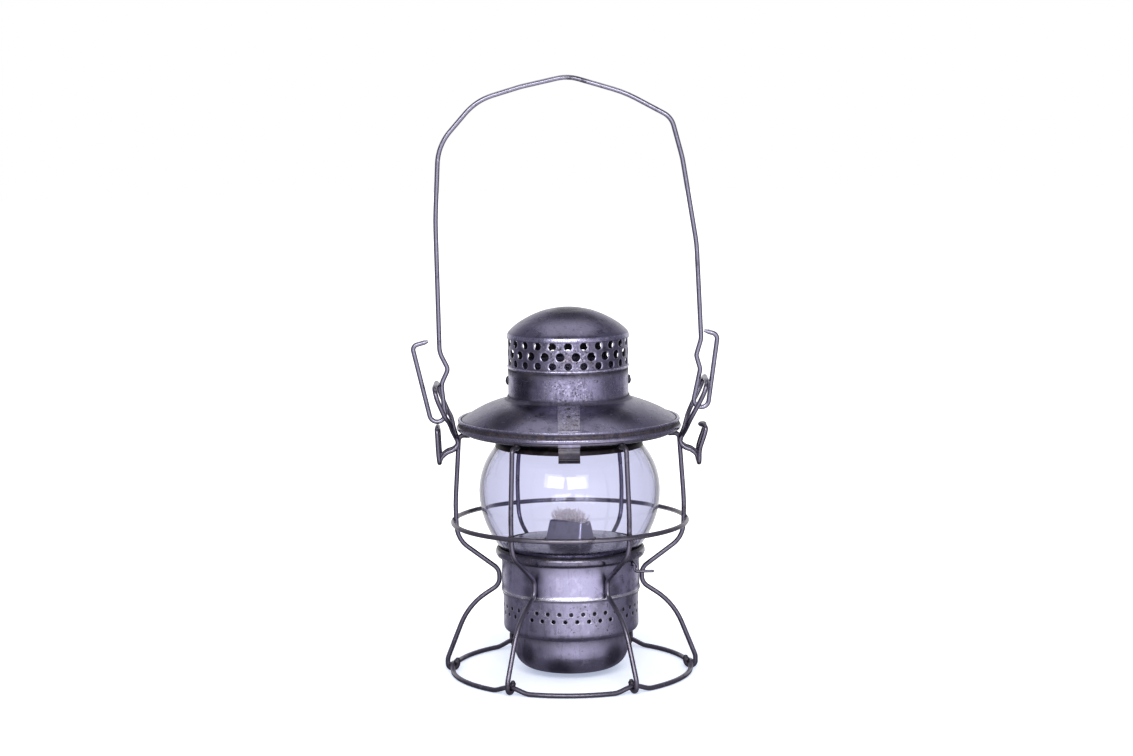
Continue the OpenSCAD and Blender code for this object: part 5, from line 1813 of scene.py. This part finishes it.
@dataclass
class Bail:
    """The wire bail, bent by hand and out of true."""

    top: float = 392.8
    rest: float = 164.0
    wire: float = 3.2

    def path(self) -> list[Station]:
        """The bail from the left tip over the arch to the right tip.

        Returns:
            Corners with their bend radii.
        """
        z = self.top
        low = self.rest + self.wire + 0.45
        return [
            (-91.6, 220.9, 0), (-102.2, 217.9, 3.5), (-90.6, low, 5), (-80.9, low - 0.05, 5),
            (-83.5, 192.5, 10), (-78.8, 202.4, 5), (-84.3, 213.5, 16), (-85.4, 300, 200),
            (-82.8, z - 44.0, 34), (-57.5, z - 15.2, 38), (-28.5, z - 6.6, 50), (2.1, z, 28),
            (39.2, z - 11.2, 80), (69.0, z - 27.4, 13), (76.0, z - 53.8, 60), (84.9, 283, 80),
            (87.5, 220.5, 12), (84.2, 209.7, 5), (86.8, 200.5, 7), (81.3, 175.3, 4.7),
            (91.6, 175.3, 4.6), (98.4, 223.2, 4), (89.4, 225.9, 0)]

    def build(self) -> None:
        """Builds the bail."""
        flat = spread(fillet(self.path(), 4.0), 3.0)
        line = [Vector((p.x, 0.0, p.y)) for p in flat]
        Wire("bail_steel", line, Finish.BAIL, "bail", ("bail",), unevenness=0.08, seed=41.0).build()
        LOG.info("bail built")


@dataclass
class Studio:
    """White floor, lamps, surroundings and the photograph's camera."""

    focal_px: float = 2600.0
    frame_px: float = 1133.0
    eye: Colour = (-1.138, -1695.51, 408.46)
    pitch: float = 0.124907
    roll: float = 0.012381
    front: Colour = (1.12, 1.09, 1.26)
    side: Colour = (0.215, 0.208, 0.265)
    wall: Colour = (0.27, 0.26, 0.325)
    ceiling: Colour = (0.20, 0.193, 0.24)
    # Painted contact shadow: the floor's colour under the lantern as metal and glass see it.
    under: Colour = (0.10, 0.096, 0.125)
    swing: float = 0.2
    sensor_mm: float = 36.0
    # Painted shadow: the floor's glow to the camera close to the lantern.
    shadow: Colour = (0.36, 0.41, 0.53)
    # Painted shade at the globe's edges: the background seen through only one wall of glass.
    painted_glass_edge_shade: Colour = (0.82, 0.82, 0.92)
    even_light: Colour = (0.55, 0.55, 0.58)

    def camera(self) -> None:
        """Sets the camera to the photograph's viewing point."""
        data = bpy.data.cameras.new("view")
        data.sensor_width = self.sensor_mm
        data.lens = self.focal_px / self.frame_px * self.sensor_mm
        data.clip_start, data.clip_end = 0.05, 50.0
        made = to_object("view", data)
        c, s = math.cos(self.pitch), math.sin(self.pitch)
        level, rise, ahead = Vector((1, 0, 0)), Vector((0, s, c)), Vector((0, c, -s))
        cr, sr = math.cos(self.roll), math.sin(self.roll)
        right, up = cr * level - sr * rise, sr * level + cr * rise
        made.matrix_world = Matrix.Translation(Vector(self.eye) * MM) @ Matrix(
            (right, up, -ahead)).transposed().to_4x4()
        bpy.context.scene.camera = made

    def surroundings(self, net: Net, across: Val, back: Val) -> Val:
        """Brightness of the room around the lantern.

        Args:
            net: The net.
            across: Direction's part to the right.
            back: Direction's part to the rear.

        Returns:
            White behind, dark at the sides and light in front, a little to the right.
        """
        window = net.node("ShaderNodeValToRGB", {"stops": [(0.02, self.front), (0.25, self.side)]}, {
            "Fac": back * (0.5 * math.cos(self.swing)) - across * (0.5 * math.sin(self.swing)) + 0.5})
        return net.mix(back.above(0.70, 0.28), window, WHITE)

    def floor(self) -> None:
        """White floor that shows white to the camera and takes the lantern's cast shadow, with a painted
        shadow colour near the lantern and a painted contact shadow under it as metal and glass see it.
        """
        material, net = shader_net("studio_floor")
        paper = net.node("ShaderNodeBsdfDiffuse", {}, {"Color": (0.8, 0.8, 0.8, 1.0)})
        place = net.coordinates()
        camera, glossy, through = net.ray("Is Camera Ray", "Is Glossy Ray", "Is Transmission Ray")
        across, back, _ = net.parts(net.node("ShaderNodeVectorMath", {"operation": "NORMALIZE"}, {0: place}))
        away = net.node("ShaderNodeVectorMath", {"operation": "LENGTH"}, {0: place}, "Value")
        # Painted contact shadow: metal and glass see the floor dark right under the lantern, and the room's
        # pattern further out.
        around = net.mix(away.above(0.11, 0.10), self.under, self.surroundings(net, across, back))
        # Painted shadow: to the camera the floor glows in the shadow colour near the lantern, white further
        # out.
        camera_glow_with_painted_shadow = net.node("ShaderNodeEmission", {}, {
            "Color": net.mix(away.above(0.17, 0.12), self.shadow, WHITE), "Strength": camera})
        lit = net.node("ShaderNodeAddShader", {}, {0: paper, 1: camera_glow_with_painted_shadow})
        mirrored = net.node("ShaderNodeEmission", {}, {
            "Color": net.mix(through, around, WHITE), "Strength": 1.0})
        bounced = glossy.most(through)
        close_material(net, net.node("ShaderNodeMixShader", {}, {0: bounced, 1: lit, 2: mirrored}))
        work = bmesh.new()
        bmesh.ops.create_circle(work, cap_ends=True, segments=96, radius=6.0)
        bmesh.ops.translate(work, vec=(0, 0, -0.0002), verts=work.verts)
        floor = to_object("floor", ended(work, "floor", outward=False))
        floor.data.materials.append(material)

    def lamp(self, name: str, place: Colour, aim: Colour, size: tuple[float, float], radiance: float,
             mirrored: bool = True) -> None:
        """Adds a soft box.

        Args:
            name: Its name.
            place: Its centre in metres.
            aim: The point that it faces.
            size: Width and height.
            radiance: Brightness of its face.
            mirrored: Whether metal and glass show it.
        """
        data = bpy.data.lights.new(name, "AREA")
        data.shape = "RECTANGLE"
        data.size, data.size_y = size
        data.energy = radiance * math.pi * size[0] * size[1]
        made = to_object(name, data)
        made.location = place
        made.rotation_euler = (Vector(aim) - Vector(place)).to_track_quat("-Z", "Y").to_euler()
        made.visible_glossy = made.visible_transmission = mirrored

    def world(self) -> None:
        """White behind the lantern, a dim room in front of it, plain light from all sides, and painted shade
        at the globe's edges.
        """
        world = bpy.data.worlds.new("studio")
        bpy.context.scene.world = world
        world.use_nodes = True
        world.node_tree.nodes.clear()
        net = Net(world.node_tree)
        across, back, height = net.parts(net.node("ShaderNodeTexCoord", output="Generated"))
        camera, glossy, through, depth = net.ray(
            "Is Camera Ray", "Is Glossy Ray", "Is Transmission Ray", "Transmission Depth")
        room = net.mix(height.above(0.45, 0.35), self.surroundings(net, across, back), self.wall)
        room = net.mix(height.above(0.85, 0.2), room, self.ceiling)
        # Painted shade at the globe's edges: rays that passed only one wall of glass see a darker violet
        # background.
        background_with_painted_edge_shade = net.mix(1.0 - depth.above(2.5, 1.0), WHITE, self.painted_glass_edge_shade)
        seen = net.mix(through, net.mix(glossy, self.even_light, room), background_with_painted_edge_shade)
        seen = net.mix(camera, seen, WHITE)
        glow = net.node("ShaderNodeBackground", {}, {"Color": seen, "Strength": 1.0})
        net.place("ShaderNodeOutputWorld", {}, {"Surface": glow})

    def build(self) -> None:
        """Builds the studio."""
        self.camera()
        self.floor()
        self.world()
        self.lamp("window_left", (-0.74, -2.2, 1.25), (0, 0, 0.12), (0.95, 0.86), 5.0)
        self.lamp("window_right", (0.37, -2.2, 1.17), (0, 0, 0.12), (0.98, 0.84), 5.0)
        self.lamp("overhead", (0.0, 0.3, 1.9), (0, 0, 0.1), (1.6, 1.2), 1.0)
        self.lamp("front_fill", (0.1, -2.0, 1.5), (0, 0, 0.05), (1.0, 0.8), 9.0, False)
        bpy.context.scene.view_settings.view_transform = "Standard"
        LOG.info("studio built")


def main() -> None:
    """Builds the lantern and its studio."""
    logging.basicConfig(level=logging.INFO, format="%(name)s: %(message)s")
    GuardFrame().build()
    Shell().build()
    Globe().build()
    Lid().build()
    Fount().build()
    Burner().build()
    Bail().build()
    Studio().build()


if __name__ == "__main__":
    main()
